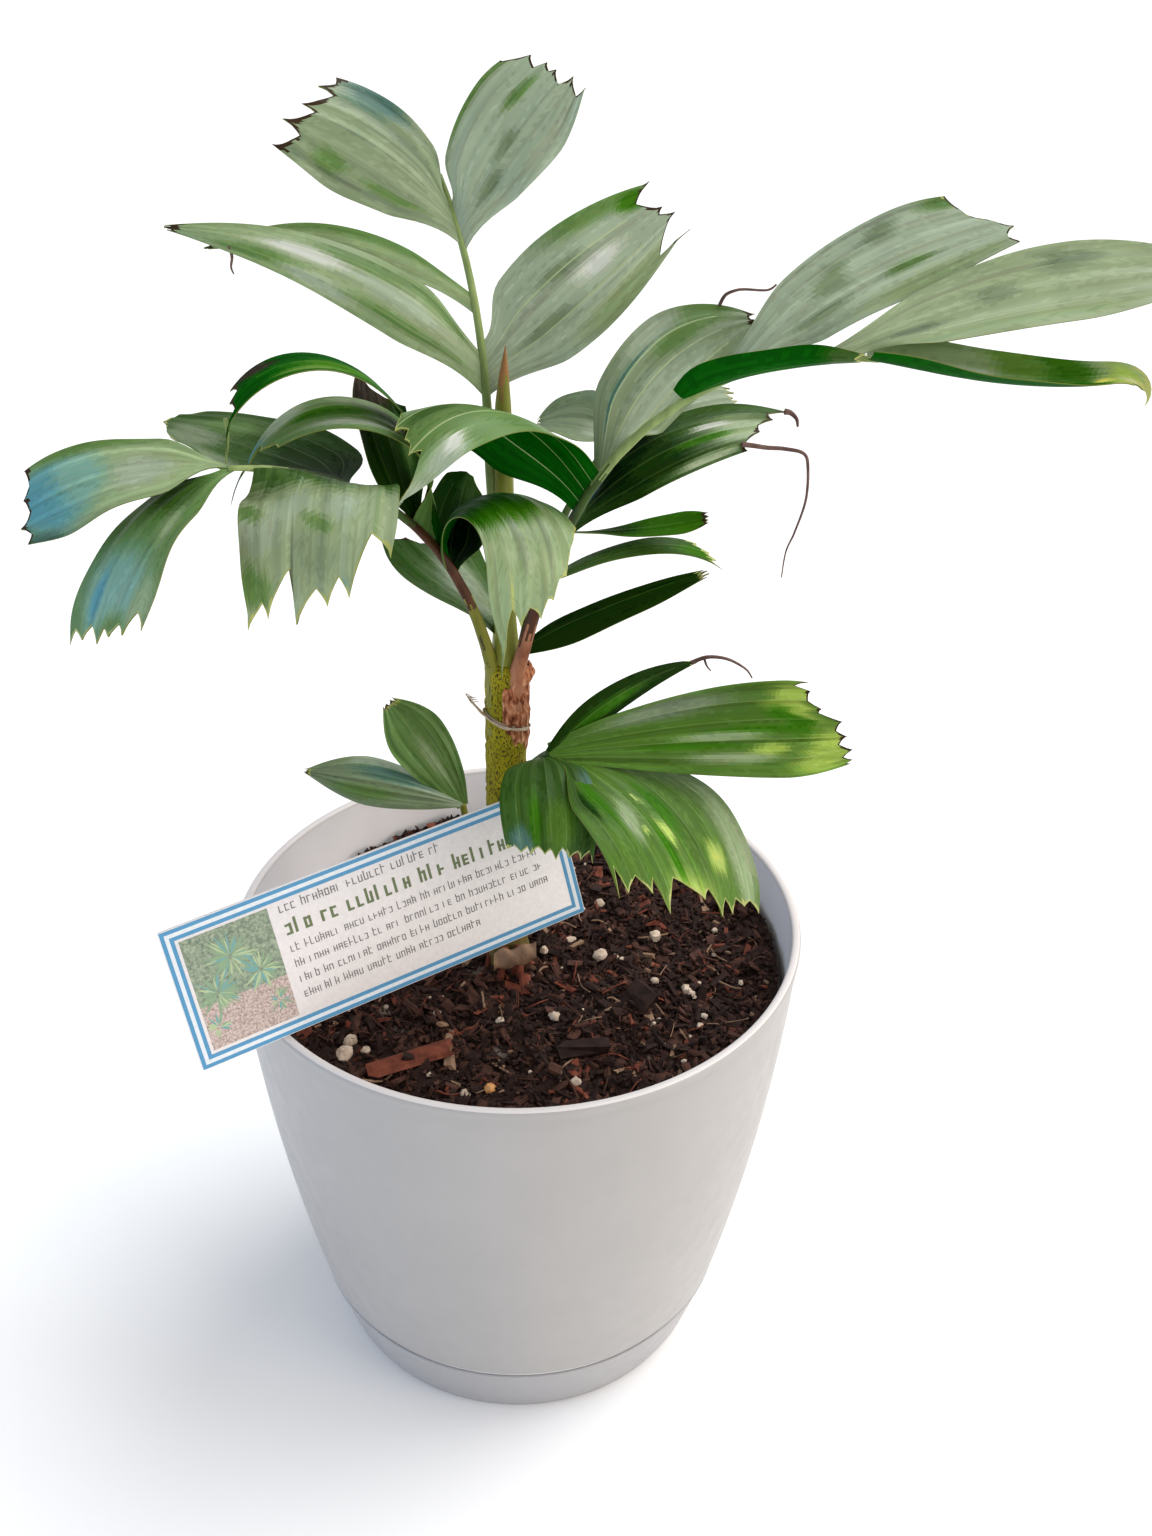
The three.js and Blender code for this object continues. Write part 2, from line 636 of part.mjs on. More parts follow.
function frondSolid(name) {
  const limb = LIMBS[name];
  const start = new THREE.Vector3(...limb.start);
  if (name === 'side') {
    start.z = soilHeight(Math.hypot(start.x, start.y)) + GAP;
  }
  const line = path(start, limb.long, limb.heading, limb.rise, limb.ease, RIB_STEPS);
  const radiusAt = (share) => lerp(limb.radius[0], limb.radius[1], Math.sqrt(share));
  let frond = rod(line.points, radiusAt, RIB_SIDES);
  for (const leaf of LEAFLETS[name]) {
    frond = frond.add(leafSolid(leaf, line));
  }
  return largest(frond.subtract(trunk));
}

addSolid('frond_top', frondSolid('top'), COLOURS.leaf);
addSolid('frond_right', frondSolid('right'), COLOURS.leaf);
addSolid('frond_left', frondSolid('left'), COLOURS.leaf);
addSolid('frond_back', frondSolid('back'), COLOURS.leaf);
addSolid('frond_low', frondSolid('low'), COLOURS.lowLeaf);
addSolid('side_shoot', frondSolid('side'), COLOURS.sideLeaf);

// Label
function labelSolid() {
  const along = direction(radians(CARD_HEADING), radians(CARD_RISE));
  const towards = new THREE.Vector3(
    Math.sin(radians(CARD_HEADING)),
    -Math.cos(radians(CARD_HEADING)),
    0,
  );
  const above = towards.clone().cross(along);
  const tall = above.multiplyScalar(Math.cos(radians(CARD_LEAN)))
    .addScaledVector(towards, -Math.sin(radians(CARD_LEAN)));
  const face = along.clone().cross(tall);
  const foot = new THREE.Vector3(...CARD_FOOT);
  const points = [];
  for (const depth of [0, -CARD_THICK]) {
    for (const [u, v] of [[-0.5, 0], [0.5, 0], [0.5, 1], [-0.5, 1]]) {
      points.push(
        foot.clone()
          .addScaledVector(along, u * CARD_LONG)
          .addScaledVector(tall, v * CARD_TALL)
          .addScaledVector(face, depth),
      );
    }
  }
  const quad = (a, b, c, d) => [[a, b, c], [a, c, d]];
  const card = solidFrom(points, [
    ...quad(0, 1, 2, 3),
    ...quad(7, 6, 5, 4),
    ...quad(4, 5, 1, 0),
    ...quad(5, 6, 2, 1),
    ...quad(6, 7, 3, 2),
    ...quad(7, 4, 0, 3),
  ]);
  const head = foot.clone()
    .addScaledVector(along, STAKE_TOP[0] * CARD_LONG)
    .addScaledVector(tall, STAKE_TOP[1] * CARD_TALL)
    .addScaledVector(face, -CARD_THICK / 2 - STAKE_RADIUS);
  const [x, y] = STAKE_FOOT;
  const ground = new THREE.Vector3(x, y, soilHeight(Math.hypot(x, y)) + STAKE_RADIUS);
  const stake = rod([head, ground], () => STAKE_RADIUS, RIB_SIDES);
  return card.add(stake);
}
addSolid('label', labelSolid(), COLOURS.label);

export default group;
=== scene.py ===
# Potted walking stick palm: finely cut leaflets, stalks, stem, potting mix, label, pot and saucer.
# Sizes are in millimetres and turned to metres where a mesh is made. +Z is up, +X to the right
# and -Y towards the viewer; the origin is the centre of the saucer's underside.
import math

import bpy
import numpy as np
from mathutils import Matrix, Vector


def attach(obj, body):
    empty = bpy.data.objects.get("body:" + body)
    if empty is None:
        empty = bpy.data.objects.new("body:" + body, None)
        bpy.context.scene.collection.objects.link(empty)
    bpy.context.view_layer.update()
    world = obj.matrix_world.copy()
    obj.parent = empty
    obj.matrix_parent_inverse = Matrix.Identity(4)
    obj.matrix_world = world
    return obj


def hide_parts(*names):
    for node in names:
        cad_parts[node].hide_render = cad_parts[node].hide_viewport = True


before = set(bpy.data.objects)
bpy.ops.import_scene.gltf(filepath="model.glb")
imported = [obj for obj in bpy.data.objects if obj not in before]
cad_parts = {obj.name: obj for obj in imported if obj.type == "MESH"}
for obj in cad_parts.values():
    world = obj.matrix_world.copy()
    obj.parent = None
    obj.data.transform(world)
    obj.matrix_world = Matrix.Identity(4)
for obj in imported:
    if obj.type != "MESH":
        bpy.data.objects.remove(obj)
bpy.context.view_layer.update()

MM = 0.001

# Pot and saucer
POT_HEIGHT = 180
RIM_RADIUS = 100
RIM_TOP = 179.8
RIM_ROUND = 1.5
LIP_ROUND = 1.2
SEAM_HEIGHT = 28
SEAM_RADIUS = 79
SEAM_EDGE = 0.5
FOOT_RADIUS = 70.5
FOOT_ROUND = 1.6
WALL = 2.6
WALL_BELLY = 0.61
FLOOR_THICK = 3
GAP = 0.3
ROUND_SIDES = 160

# Soil
SOIL_LEVEL = 157
SOIL_DOME = 3
SOIL_FLAT = 14
SOIL_EDGE = 94.5
SOIL_SKIRT = 9
BED_LIFT = 1.6
BANK = 2.5
BANK_FROM = 78
BANK_WIDE = 16
HOLLOW = 10
HOLLOW_PLACE = (-76, 36)
HOLLOW_REACH = 44
BED_RINGS = 44
BED_SPOKES = 150
CRUMBS = 7200
CRUMBS_REACH = 93
CRUMB_SIZE = (0.9, 2.6)
CRUMB_SHAPE = (1.3, 1, 0.8)
CHIPS = 3000
CHIPS_REACH = 91
SPLINTERS = 260
SPLINTERS_REACH = 90
SPLINTER_LONG = (3, 12)
PERLITE_GRAINS = 70
PERLITE_REACH = 88
LARGEST_CHIP = (12, 5, 3)
LARGEST_GRAIN = 4
BEAD_PLACE = (-9.9, -70.8)
BEAD_SIZE = 4.2
HUSK_PLACE = (-9, -10.5, 168)
HUSK_WIDE = 15

# Stem: its ring scars are a swell with a groove above it, each with its height and half width
STEM_X = -4
STEM_FOOT = 160.3
STEM_BURIED = 3
STEM_TOP = 284
STEM_RADIUS = 6.7
STEM_TOP_RADIUS = 6.9
STEM_TOP_ROUND = 3
STEM_FOOT_RADIUS = 8.2
STEM_FOOT_HEIGHT = 16
STEM_BROWN_TO = 194
STEM_BROWN_RAGGED = 14
SCAR_STEP = 17
SCAR_FIRST = 5
SCAR_CREST = 1.2
SCAR_SWELL = (0.34, 0.7)
SCAR_GROOVE = (0.2, 0.8)
SCAR_TO_GROOVE = 1.6

# Young shoot: radii at heights, from its foot round the stem's top to its point
SHOOT_TIP = 388
SHOOT_DRY_FROM = 375
SHOOT_BEND_FROM = 366
SHOOT_BEND = 0.9
SHOOT_OUTLINE = ((STEM_TOP - 6, 5.2), (STEM_TOP + 16, 3.5), (359, 2.9), (370, 2.4), (379, 1.5),
                 (SHOOT_TIP, 0.12))
SHOOT_SIDES = 28
CREASE_DEPTH = 0.09
CREASE_WIDE = 9
CREASE_HEADING = 70
CREASE_TWIST = 0.2

# Dry sheath: it clasps the stem between two headings
SHEATH_FROM = -98
SHEATH_TURN = 160
SHEATH_LOW = 253.5
SHEATH_DROP = 9
SHEATH_CREST = 8
SHEATH_CLEAR = 0.75
SHEATH_THICK = 0.7
KNOB_HEIGHT = 279.5
KNOB_HEADING = 5
KNOB_SWELL = 2.1
KNOB_REACH = (2.3, 46)
SHEATH_RINGS = ((266, 0.6, 1.2), (273, 0.5, 1))
SHEATH_GRID = (46, 56)
FIBRE_HEIGHT = 265.8
FIBRE_FALL = 8.5

# Leaves
LEAF_THICK = 0.55
EDGE_THIN = 0.5
ROW_LONG = 1.8
ROW_LIMITS = (18, 50)
ROW_CROWDING = 1.3
RIB_STEPS = 12
PATH_STEPS = 160
PATH_REACH = 1.3
ROOT_BLEND = 0.3
TIP_FALL = 1.8
HOOK_FROM = 0.8
VEIN_HALF = 0.2
VEIN_TO = 0.85
VEIN_BRIGHT = 0.75
VEIN_FAINT = 0.16
SIDE_TIP = (-0.2, 0.4)
NOTCH_PLACE = (0.35, 0.65)
NOTCH_DEPTH = (0.4, 0.8)
TIP_SHIFT = 0.15
TIP_RISE = (0, 0.5)
TOOTH_CURVE = 0.7
STALK_SKIN = 1.04
STALK_SIDES = 16
STALK_STEPS = 54
COLUMN = 0.95
COLUMN_CLEAR = 0.8
VEIN_COLUMN = 2.5
RELIEF_FROM = 0.25
PLEAT = 0.16
PLEAT_WIDE = 20
WAVE = 0.028
STREAK = 0.05
MOTTLE = 0.02
SHADE_DRIFT = 0.012
SHADE_CORE = 1.3
TIP_RAGGED = (0.6, 1.3)
MAP_SCALE = 100

# Leaf colours
DISPLAY_CURVE = 2.2
HAZE = 0.065
DARKEST = 0.0005
TONE_STEP = 9
TINT_STEP = 5
TONE_DITHER = (0.35, 0.15)
WAXY_TONE = 115
MATT = 0.04

# Textures. Stops are the noise values where a pair of colours sits, shares what they multiply by.
STOPS = (0.3, 0.7)
NOISE_ROUGH = 0.6
FINER = 5
STREAK_STRETCH = (70, 2.5, 1)
STREAK_STOPS = (0.32, 0.65)
STREAK_SHARES = (0.86, 1.05)
FINE_STRETCH = (260, 6, 1)
BLOTCH_SCALE = 60
BLOTCH_SHARES = (0.9, 1.1)
SPECK_EDGE = 0.06
SPECK_SHARES = (0.7, 1.2)
LEAF_ROUGH = 0.5
LEAF_SHINE = 0.5
LEAF_COAT = 0.25
COAT_ROUGH = 0.3
GLOSS_ROUGH = 0.1
FAINT_RELIEF = 0.02

# Label. Its print lies just above its face, each layer a little higher than the one below.
CARD_LONG = 139.5
CARD_TALL = 48.5
CARD_THICK = 1.4
CARD_CORNER = 0.8
CARD_BEVEL = 0.12
CARD_FOOT = (-38.7, -46.2, 185.3)
CARD_HEADING = 27.5
CARD_RISE = 5.6
CARD_LEAN = 19.2
STAKE_RADIUS = 1.8
STAKE_TOP = (0.04, 0.7)
STAKE_FOOT = (-30, 12)
STAKE_DEPTH = 3
BORDER_LINES = (0.25, 1.55, 2.85, 4.15)
PICTURE = (5.2, 5.2, 34.5, 43.4)
PICTURE_SPLIT = 20
PRINT_LEFT = 38
INK = 0.03
TUFT_INK = 0.05
LETTER_INK = 0.04
BAR_INK = 0.045

# Studio, in metres and watts
FLOOR = 300
FLOOR_PALE = 0.96
WORLD_LIGHT = 0.6
PANEL_LIGHT = 2.25
PANEL_SPREAD = 50
PANEL_TURN = (-14, 32, 0)
BOX_WIDE = 0.9
BOX_AIM = (0, 0, 0.1)

# Camera
LENS = 39.84
CAMERA_PLACE = (0, -485, 550)
CAMERA_PITCH = 32.4
CAMERA_YAW = -2.3
CAMERA_ROLL = 0.94

# A limb starts at a point and turns from one heading and rise to another over its length.
# Heading is the angle round Z from +X, rise the angle above level, both in degrees.
LIMBS = {
    "top": dict(start=(-8.4, 1, 358), long=79, heading=(105, 125), rise=(84, 50), ease=1,
                radius=(1.6, 0.9)),
    "right": dict(start=(0, -5, 283), long=170, heading=(-32, 8), rise=(75, -12), ease=2,
                  radius=(2.7, 0.9)),
    "left": dict(start=(-8, -3, 281), long=134, heading=(-136, -150), rise=(76, 8), ease=1.3,
                 radius=(2.9, 0.9)),
    "back": dict(start=(1, 5, 281), long=88, heading=(70, 40), rise=(62, 30), ease=1,
                 radius=(2.2, 0.9)),
    "low": dict(start=(1, -6, 240), long=38, heading=(-78, -64), rise=(52, 40), ease=1,
                radius=(2, 1.1)),
    "side": dict(start=(-17, 45, 159.8), long=38, heading=(180, 170), rise=(88, 80), ease=1,
                 radius=(1.6, 1.2)),
}

# Leaf tones as the photograph shows them, from 0 to 255
TONES = {
    # The leaf tops' grey-green, lightened by painted sheen
    "pale": (158, 171, 147),
    "soft": (152, 165, 131),
    # Painted highlight: the whitish sheen where a glossy leaf top catches the light
    "painted_highlight": (196, 200, 188),
    "moss": (140, 158, 118),
    "sage": (133, 147, 118),
    "shade": (122, 138, 110),
    "green": (100, 128, 78),
    "fresh": (96, 132, 58),
    "leafy": (80, 110, 52),
    "grass": (58, 104, 28),
    "deep": (62, 88, 46),
    # The next two carry painted shade: dark green that is partly the leaf's own, then near black
    # shadow
    "dark": (32, 54, 20),
    "painted_shadow": (14, 28, 10),
    "teal": (80, 110, 98),
    # The next two are painted reflections of the bluish left lamp on leaves that face it
    "blue": (92, 144, 152),
    "faint_blue_reflection": (124, 162, 146),
    # Painted shade with a blue cast
    "painted_blue_shade": (44, 66, 88),
    "lime": (156, 180, 88),
    "hay": (158, 170, 108),
    "yellow": (208, 204, 96),
    # The undersides' own saturated green, darkened by painted shade
    "under": (16, 76, 10),
    "plum": (56, 50, 44),
    "vein": (176, 188, 142),
    "margin": (112, 120, 66),
    "straw": (168, 172, 108),
    "burnt": (62, 52, 44),
}

# Each leaflet grows from its limb at a distance along it, and turns from one heading, rise and roll
# to another. Its width rises from the root share to full width at the full share of its length and
# falls to the tip share. Slant shortens its right side, or its left where it is below zero. Cup
# bends its sides up, hook its last part, and span is the stretch of the limb that its root sits
# on. Shades are soft patches of another tone, each with its place along and across the leaflet and
# its reach both ways; below has those of the underside. Besides the leaflet's own mottling and
# yellowing, many shades are painted light and shade: sheen, highlights, bluish reflections and
# shadow. Edge holds the points of the torn end as (place across from -1 to 1, millimetres past the
# mean end), tip and notch in turn; teeth makes such an end by rule from a count and a depth. Straw
# and burnt are the millimetres of the end that are pale or brown.
LEAFLETS = {
    "top": [
        dict(at=64, long=60, wide=31, heading=(187, 187), rise=(53, 16), roll=(64, 58), root=0.45,
             full=0.65, tip=0.65, cup=-0.2, span=14, slant=0.15, tone="sage",
             shades=(("teal", 0.6, 0.85, 0.16, 0.3), ("shade", 0.35, 0.6, 0.14, 0.3),
                     ("green", 0.7, -0.6, 0.09, 0.2), ("green", 0.34, -0.62, 0.16, 0.1),
                     ("shade", 0.64, 0.1, 0.08, 0.2)),
             edge=((-1, 0), (-0.45, -5), (-0.28, 1.5), (0.12, -5), (0.22, -0.5), (0.58, -6.5),
                   (0.7, -1.5), (0.84, -5), (1, -4)), burnt=2.6, veins=5),
        dict(at=62, long=55, wide=30, heading=(18, 9), rise=(68, 40), roll=(-60, -67), root=0.4,
             full=0.65, tip=0.55, span=14, slant=-0.1, tone="pale",
             shades=(("green", 0.72, -0.3, 0.12, 0.1), ("green", 0.6, -1, 0.3, 0.1),
                     ("shade", 0.5, 0.1, 0.1, 0.12), ("shade", 0.28, 0.3, 0.1, 0.15)),
             edge=((-1, -6), (-0.97, -6), (-0.8, 0), (-0.5, -2.5), (-0.42, 0.8), (-0.2, -1),
                   (-0.1, 0.6), (0.2, -2.5), (0.42, 1.7), (0.8, -2.5), (1, 0.7)),
             burnt=1, veins=4),
        dict(at=40, long=81, wide=10, heading=(177, 189), rise=(39, -13), roll=(52, 53),
             root=0.35, full=0.55, tip=0.05, span=6, tone="moss",
             shades=(("green", 0.4, 0.9, 0.4, 0.5),), teeth=(2, 2), burnt=1.5, veins=2),
        dict(at=19, long=103, wide=19, heading=(191, 172), rise=(56, 2), roll=(53, 56),
             root=0.45, full=0.3, tip=0.05, ease=0.8, cup=-0.2, span=13, tone="moss",
             shades=(("painted_highlight", 0.66, 0.2, 0.13, 0.3), ("pale", 0.38, 0.1, 0.16, 0.3),
                     ("green", 0.5, 0.6, 0.16, 0.2), ("green", 0.24, 0.7, 0.14, 0.2),
                     ("pale", 0.55, -0.65, 0.12, 0.25), ("green", 0.75, -0.5, 0.1, 0.3),
                     ("green", 0.25, -0.5, 0.2, 0.15)),
             teeth=(2, 3), burnt=5, veins=3),
        dict(at=21, long=71, wide=33, heading=(21, 23), rise=(42, 30), roll=(-62, -69), root=0.62,
             full=0.5, tip=0.55, cup=-0.1, span=16, tone="pale",
             shades=(("green", 0.78, -0.9, 0.26, 0.24), ("grass", 0.93, -0.7, 0.07, 0.25),
                     ("painted_highlight", 0.64, -0.02, 0.11, 0.16), ("shade", 0.3, 0.25, 0.14, 0.12),
                     ("shade", 0.5, -0.35, 0.12, 0.12), ("moss", 0.7, 0.8, 0.3, 0.25)),
             edge=((-1, 2), (-0.55, -5.5), (-0.12, 0.5), (0.02, -1.5), (0.26, 3), (0.85, -8),
                   (1, 4)), burnt=1.2, veins=2, bright=True),
    ],
    "right": [
        dict(at=80, long=67, wide=27, heading=(57, 11), rise=(61, 7), roll=(-50, -49), root=0.6,
             full=0.6, tip=0.15, span=16, tone="sage",
             shades=(("shade", 0.2, -0.9, 0.16, 0.3), ("teal", 0.4, -0.55, 0.2, 0.06),
                     ("green", 0.82, -0.8, 0.13, 0.5), ("pale", 0.45, 0.3, 0.3, 0.35),
                     ("pale", 0.6, -0.75, 0.14, 0.2), ("green", 0.68, -0.3, 0.12, 0.2)),
             teeth=(2, 3), burnt=2, veins=3, bright=True),
        dict(at=128, long=95, wide=26, heading=(29, 2), rise=(40, 9), roll=(-47, -38), root=0.45,
             full=0.65, tip=0.55, span=14, slant=-0.2, tone="pale",
             shades=(("shade", 0.42, -0.2, 0.06, 0.3), ("shade", 0.58, -0.65, 0.05, 0.2),
                     ("green", 0.6, 0.3, 0.08, 0.1), ("green", 0.78, -0.85, 0.08, 0.2),
                     ("moss", 0.7, 0.8, 0.3, 0.2), ("shade", 0.3, 0.4, 0.1, 0.12)),
             edge=((-1, 0.5), (-0.4, -1.5), (-0.2, 0), (0, 1.5), (0.3, 3.5), (0.6, -2),
                   (1, -3)), straw=0.8, burnt=0.6, veins=3),
        dict(at=157, long=100, wide=23, heading=(10, 3), rise=(23, 1), roll=(-40, -50), root=0.4,
             full=0.7, tip=0.55, cup=0.1, span=12, tone="soft",
             shades=(("shade", 0.65, -0.6, 0.08, 0.3), ("shade", 0.43, -0.1, 0.06, 0.2),
                     ("moss", 0.5, 0.8, 0.4, 0.2), ("shade", 0.22, 0.3, 0.08, 0.15)),
             teeth=(6, 6), burnt=1.2, veins=3),
        dict(at=114, long=52, wide=14, heading=(-36, -2), rise=(45, 1), roll=(29, 50), root=0.6,
             full=0.2, tip=0.25, ease=0.6, cup=0.6, tone="under", under="under",
             below=(("grass", 0.5, -0.7, 0.25, 0.5), ("deep", 0.92, 0, 0.12, 2)),
             shades=(("grass", 0.5, 0.6, 0.3, 0.2),), teeth=(2, 3), straw=2, veins=1),
        dict(at=167, long=82, wide=17, heading=(-2, -9), rise=(-9, 23), roll=(8, -34), root=0.6,
             full=0.2, tip=0.15, ease=2.5, cup=0.6, slant=0.1, hook=-140, tone="moss",
             under="under",
             shades=(("fresh", 0.52, 0, 0.1, 2), ("grass", 0.68, 0, 0.09, 2),
                     ("under", 0.5, 0.75, 0.5, 0.4), ("lime", 0.86, 0, 0.06, 1),
                     ("yellow", 0.8, 0.3, 0.03, 0.2), ("yellow", 0.08, 0.2, 0.02, 0.1)),
             teeth=(2, 3), straw=7, veins=1),
        dict(at=56, long=84, wide=20, heading=(36, 19), rise=(37, -10), roll=(-41, -36), root=0.4,
             full=0.5, tip=0.55, span=14, slant=0.2, tone="deep",
             shades=(("painted_shadow", 0.34, -0.6, 0.2, 0.9), ("painted_shadow", 0.25, 0.2, 0.14, 0.6),
                     ("painted_blue_shade", 0.2, -0.7, 0.07, 0.35), ("dark", 0.16, 0.8, 0.2, 0.6),
                     ("dark", 0.45, 0.2, 0.14, 0.5), ("soft", 0.62, 0.78, 0.14, 0.14),
                     ("moss", 0.84, 0.1, 0.15, 0.6), ("painted_highlight", 0.74, -0.3, 0.08, 0.1),
                     ("grass", 0.66, 0.1, 0.12, 0.12)),
             edge=((-1, 2.5), (-0.6, -3), (-0.3, 1), (0, -2.5), (0.3, 0), (0.7, -4), (1, -1)),
             burnt=1.6, veins=3),
        dict(at=70, long=94, wide=34, heading=(187, 245), rise=(57, -63), roll=(-72, 25),
             root=0.6, full=0.7, tip=0.6, ease=1.6, cup=-0.55, span=16, slant=0.45, tone="green",
             under="under",
             shades=(("pale", 0.75, -0.9, 0.12, 0.2), ("pale", 0.97, -1, 0.1, 0.3),
                     ("deep", 0.35, 0.2, 0.14, 0.5), ("painted_highlight", 0.68, -0.8, 0.05, 0.1),
                     ("moss", 0.5, 0.3, 0.06, 0.12), ("fresh", 0.62, 0.3, 0.12, 0.12),
                     ("deep", 0.62, -0.1, 0.1, 0.1)),
             edge=((-1, 7.5), (-0.6, -10.5), (-0.5, -4.5), (-0.42, -6), (-0.28, -3.5), (-0.2, -5),
                   (-0.04, 1), (0.15, 0), (1, 10)), straw=0.8, veins=3, bright=True),
    ],
    "left": [
        dict(at=50, long=91, wide=36, heading=(-4, -101), rise=(97, -140), roll=(0, 20), root=0.4,
             full=0.5, tip=0.7, cup=-0.2, slant=-0.45, hook=70, tone="moss", under="under",
             shades=(("grass", 0.43, 0, 0.09, 3), ("under", 0.16, 0, 0.24, 3),
                     ("moss", 0.78, 0.75, 0.16, 0.25), ("shade", 0.6, 0.35, 0.1, 0.08),
                     ("shade", 0.62, -0.12, 0.1, 0.06), ("hay", 0.78, 0.62, 0.07, 0.03),
                     ("moss", 0.7, -0.5, 0.2, 0.2)),
             edge=((-1, 2), (-0.6, 1), (-0.4, 5), (-0.26, 2.5), (-0.14, 6.5), (-0.02, 3),
                   (0.1, 7.5), (0.32, -2), (0.5, 2), (0.64, -8.5), (1, 9)), straw=1.4,
             veins=5),
        dict(at=55, long=110, wide=12, heading=(206, 200), rise=(87, -70), roll=(-15, 18),
             root=0.3, full=0.75, tip=0.4, ease=2, span=18, slant=0.1, tone="under", under="under",
             shades=(("plum", 0.3, 0, 0.16, 2), ("grass", 0.65, -0.2, 0.14, 0.4),
                     ("fresh", 0.72, -0.6, 0.1, 0.2), ("plum", 0.86, 0.7, 0.05, 0.4)),
             edge=((-1, 8), (-0.5, -3), (0.2, 1), (0.4, -2), (1, 3)), straw=1, burnt=1.6,
             veins=1),
        dict(at=62, long=86, wide=18, heading=(215, 195), rise=(114, -53), roll=(9, 16),
             root=0.55, full=0.6, tip=0.05, cup=0.1, span=14, slant=-0.1, tone="green",
             shades=(("blue", 1, 0.8, 0.1, 0.8), ("pale", 0.82, 0.8, 0.08, 0.5),
                     ("pale", 0.62, -0.4, 0.16, 0.25), ("grass", 0.66, 0.25, 0.14, 0.25),
                     ("deep", 0.42, 0.6, 0.1, 0.2), ("moss", 0.56, 0.8, 0.1, 0.2)),
             edge=((-1, -1.5), (-0.45, -3.5), (0, -1), (0.5, -4), (1, 13)), straw=0.8, veins=3),
        dict(at=100, long=70, wide=40, heading=(114, 170), rise=(-4, 7), roll=(-10, 10),
             root=0.55, full=0.25, tip=0.4, ease=0.9, span=11, tone="deep",
             shades=(("shade", 0.85, -0.4, 0.14, 0.6), ("green", 0.72, 0.3, 0.12, 0.3),
                     ("dark", 0.25, 0.2, 0.25, 0.9), ("shade", 0.6, -0.85, 0.16, 0.16)),
             edge=((-1, -8), (-0.6, -2), (0, 1), (0.6, -2), (1, -8)), straw=0.5, veins=4),
        dict(at=133, long=61, wide=28, heading=(183, 186), rise=(10, -35), roll=(22, 31),
             root=0.25, full=0.75, tip=0.7, span=6, slant=0.1, tone="moss",
             shades=(("blue", 0.8, 0, 0.2, 0.9), ("faint_blue_reflection", 0.64, 0.2, 0.12, 0.6),
                     ("pale", 0.36, -0.1, 0.14, 0.5), ("green", 0.6, 0.95, 0.3, 0.16),
                     ("teal", 0.9, -1, 0.14, 0.3), ("deep", 1, -0.8, 0.06, 0.4),
                     ("teal", 1, 0.5, 0.05, 0.6)),
             edge=((-1, -1), (-0.7, -2), (-0.42, 1.5), (-0.08, -1.7), (0.32, 0.4), (0.54, -1.9),
                   (1, -0.3)), burnt=1, veins=3),
        dict(at=133, long=63, wide=28, heading=(213, 230), rise=(-6, -69), roll=(-5, 2),
             root=0.35, full=0.6, tip=0.85, ease=0.8, span=6, slant=-0.15, tone="green",
             shades=(("faint_blue_reflection", 0.72, 0.1, 0.22, 0.8), ("blue", 0.76, 0.45, 0.12, 0.12),
                     ("green", 0.9, -0.2, 0.1, 0.4), ("moss", 0.75, -0.75, 0.14, 0.25),
                     ("moss", 0.36, -0.4, 0.1, 0.2), ("deep", 0.2, 0.3, 0.14, 0.8)),
             edge=((-1, -0.5), (-0.72, -6), (-0.55, 0.7), (-0.36, -2.6), (-0.18, 1.3),
                   (0.05, -1.8), (0.14, 2.6), (0.4, -2.7), (0.62, 1.4), (0.86, -1.8), (1, 2)),
             straw=1, veins=4),
        dict(at=46, long=30, wide=23, heading=(67, 47), rise=(81, 51), roll=(7, -3), root=0.5,
             full=0.45, tip=0.45, cup=0.1, span=9, slant=0.15, tone="dark",
             shades=(("painted_shadow", 0.3, 0.4, 0.3, 0.6), ("deep", 0.85, 0.4, 0.2, 0.6)), under="painted_shadow",
             edge=((-1, -3), (-0.3, 1), (0.2, 1.5), (0.5, 0), (1, -3)), veins=3),
        dict(at=103, long=50, wide=44, heading=(-91, -95), rise=(43, -83), roll=(-11, -2),
             root=0.8, full=0.35, tip=0.85, ease=0.6, span=46, slant=-0.2, tone="soft",
             shades=(("deep", 0.05, 0, 0.16, 2), ("pale", 0.4, 0.4, 0.1, 0.3),
                     ("pale", 0.34, -0.3, 0.08, 0.2), ("green", 0.48, 0, 0.05, 0.2),
                     ("sage", 0.66, 0, 0.14, 0.25), ("pale", 0.55, 0.75, 0.1, 0.3),
                     ("green", 0.86, 0.85, 0.12, 0.25), ("faint_blue_reflection", 0.8, -0.4, 0.06, 0.06),
                     ("moss", 0.5, -0.76, 0.3, 0.04), ("deep", 0.22, -0.9, 0.1, 0.14),
                     ("green", 0.42, 0.9, 0.05, 0.2)),
             edge=((-1, -6), (-0.7, -14), (-0.48, 2), (-0.32, -4.6), (-0.18, 3), (-0.02, -2.6),
                   (0.28, 6.3), (0.34, -9.5), (0.7, 3), (0.76, -1.6), (1, 5)), straw=1.4,
             veins=6),
        dict(at=65, long=49, wide=25, heading=(141, 129), rise=(62, 74), roll=(-15, -15),
             root=0.4, full=0.6, tip=0.45, span=8, slant=0.3, tone="dark",
             shades=(("plum", 0.95, 0, 0.16, 2), ("deep", 0.5, 0.6, 0.16, 0.2)), under="dark",
             edge=((-1, 1), (0, 0), (1, 1)), veins=3),
    ],
    "back": [
        dict(at=3, long=65, wide=12, heading=(12, 13), rise=(22, 16), roll=(-25, -25), root=0.3,
             full=0.3, tip=0.3, tone="dark", teeth=(3, 4), straw=2.5, burnt=1, veins=2),
        dict(at=25, long=67, wide=8, heading=(5, 18), rise=(28, -44), roll=(10, -44), root=0.3,
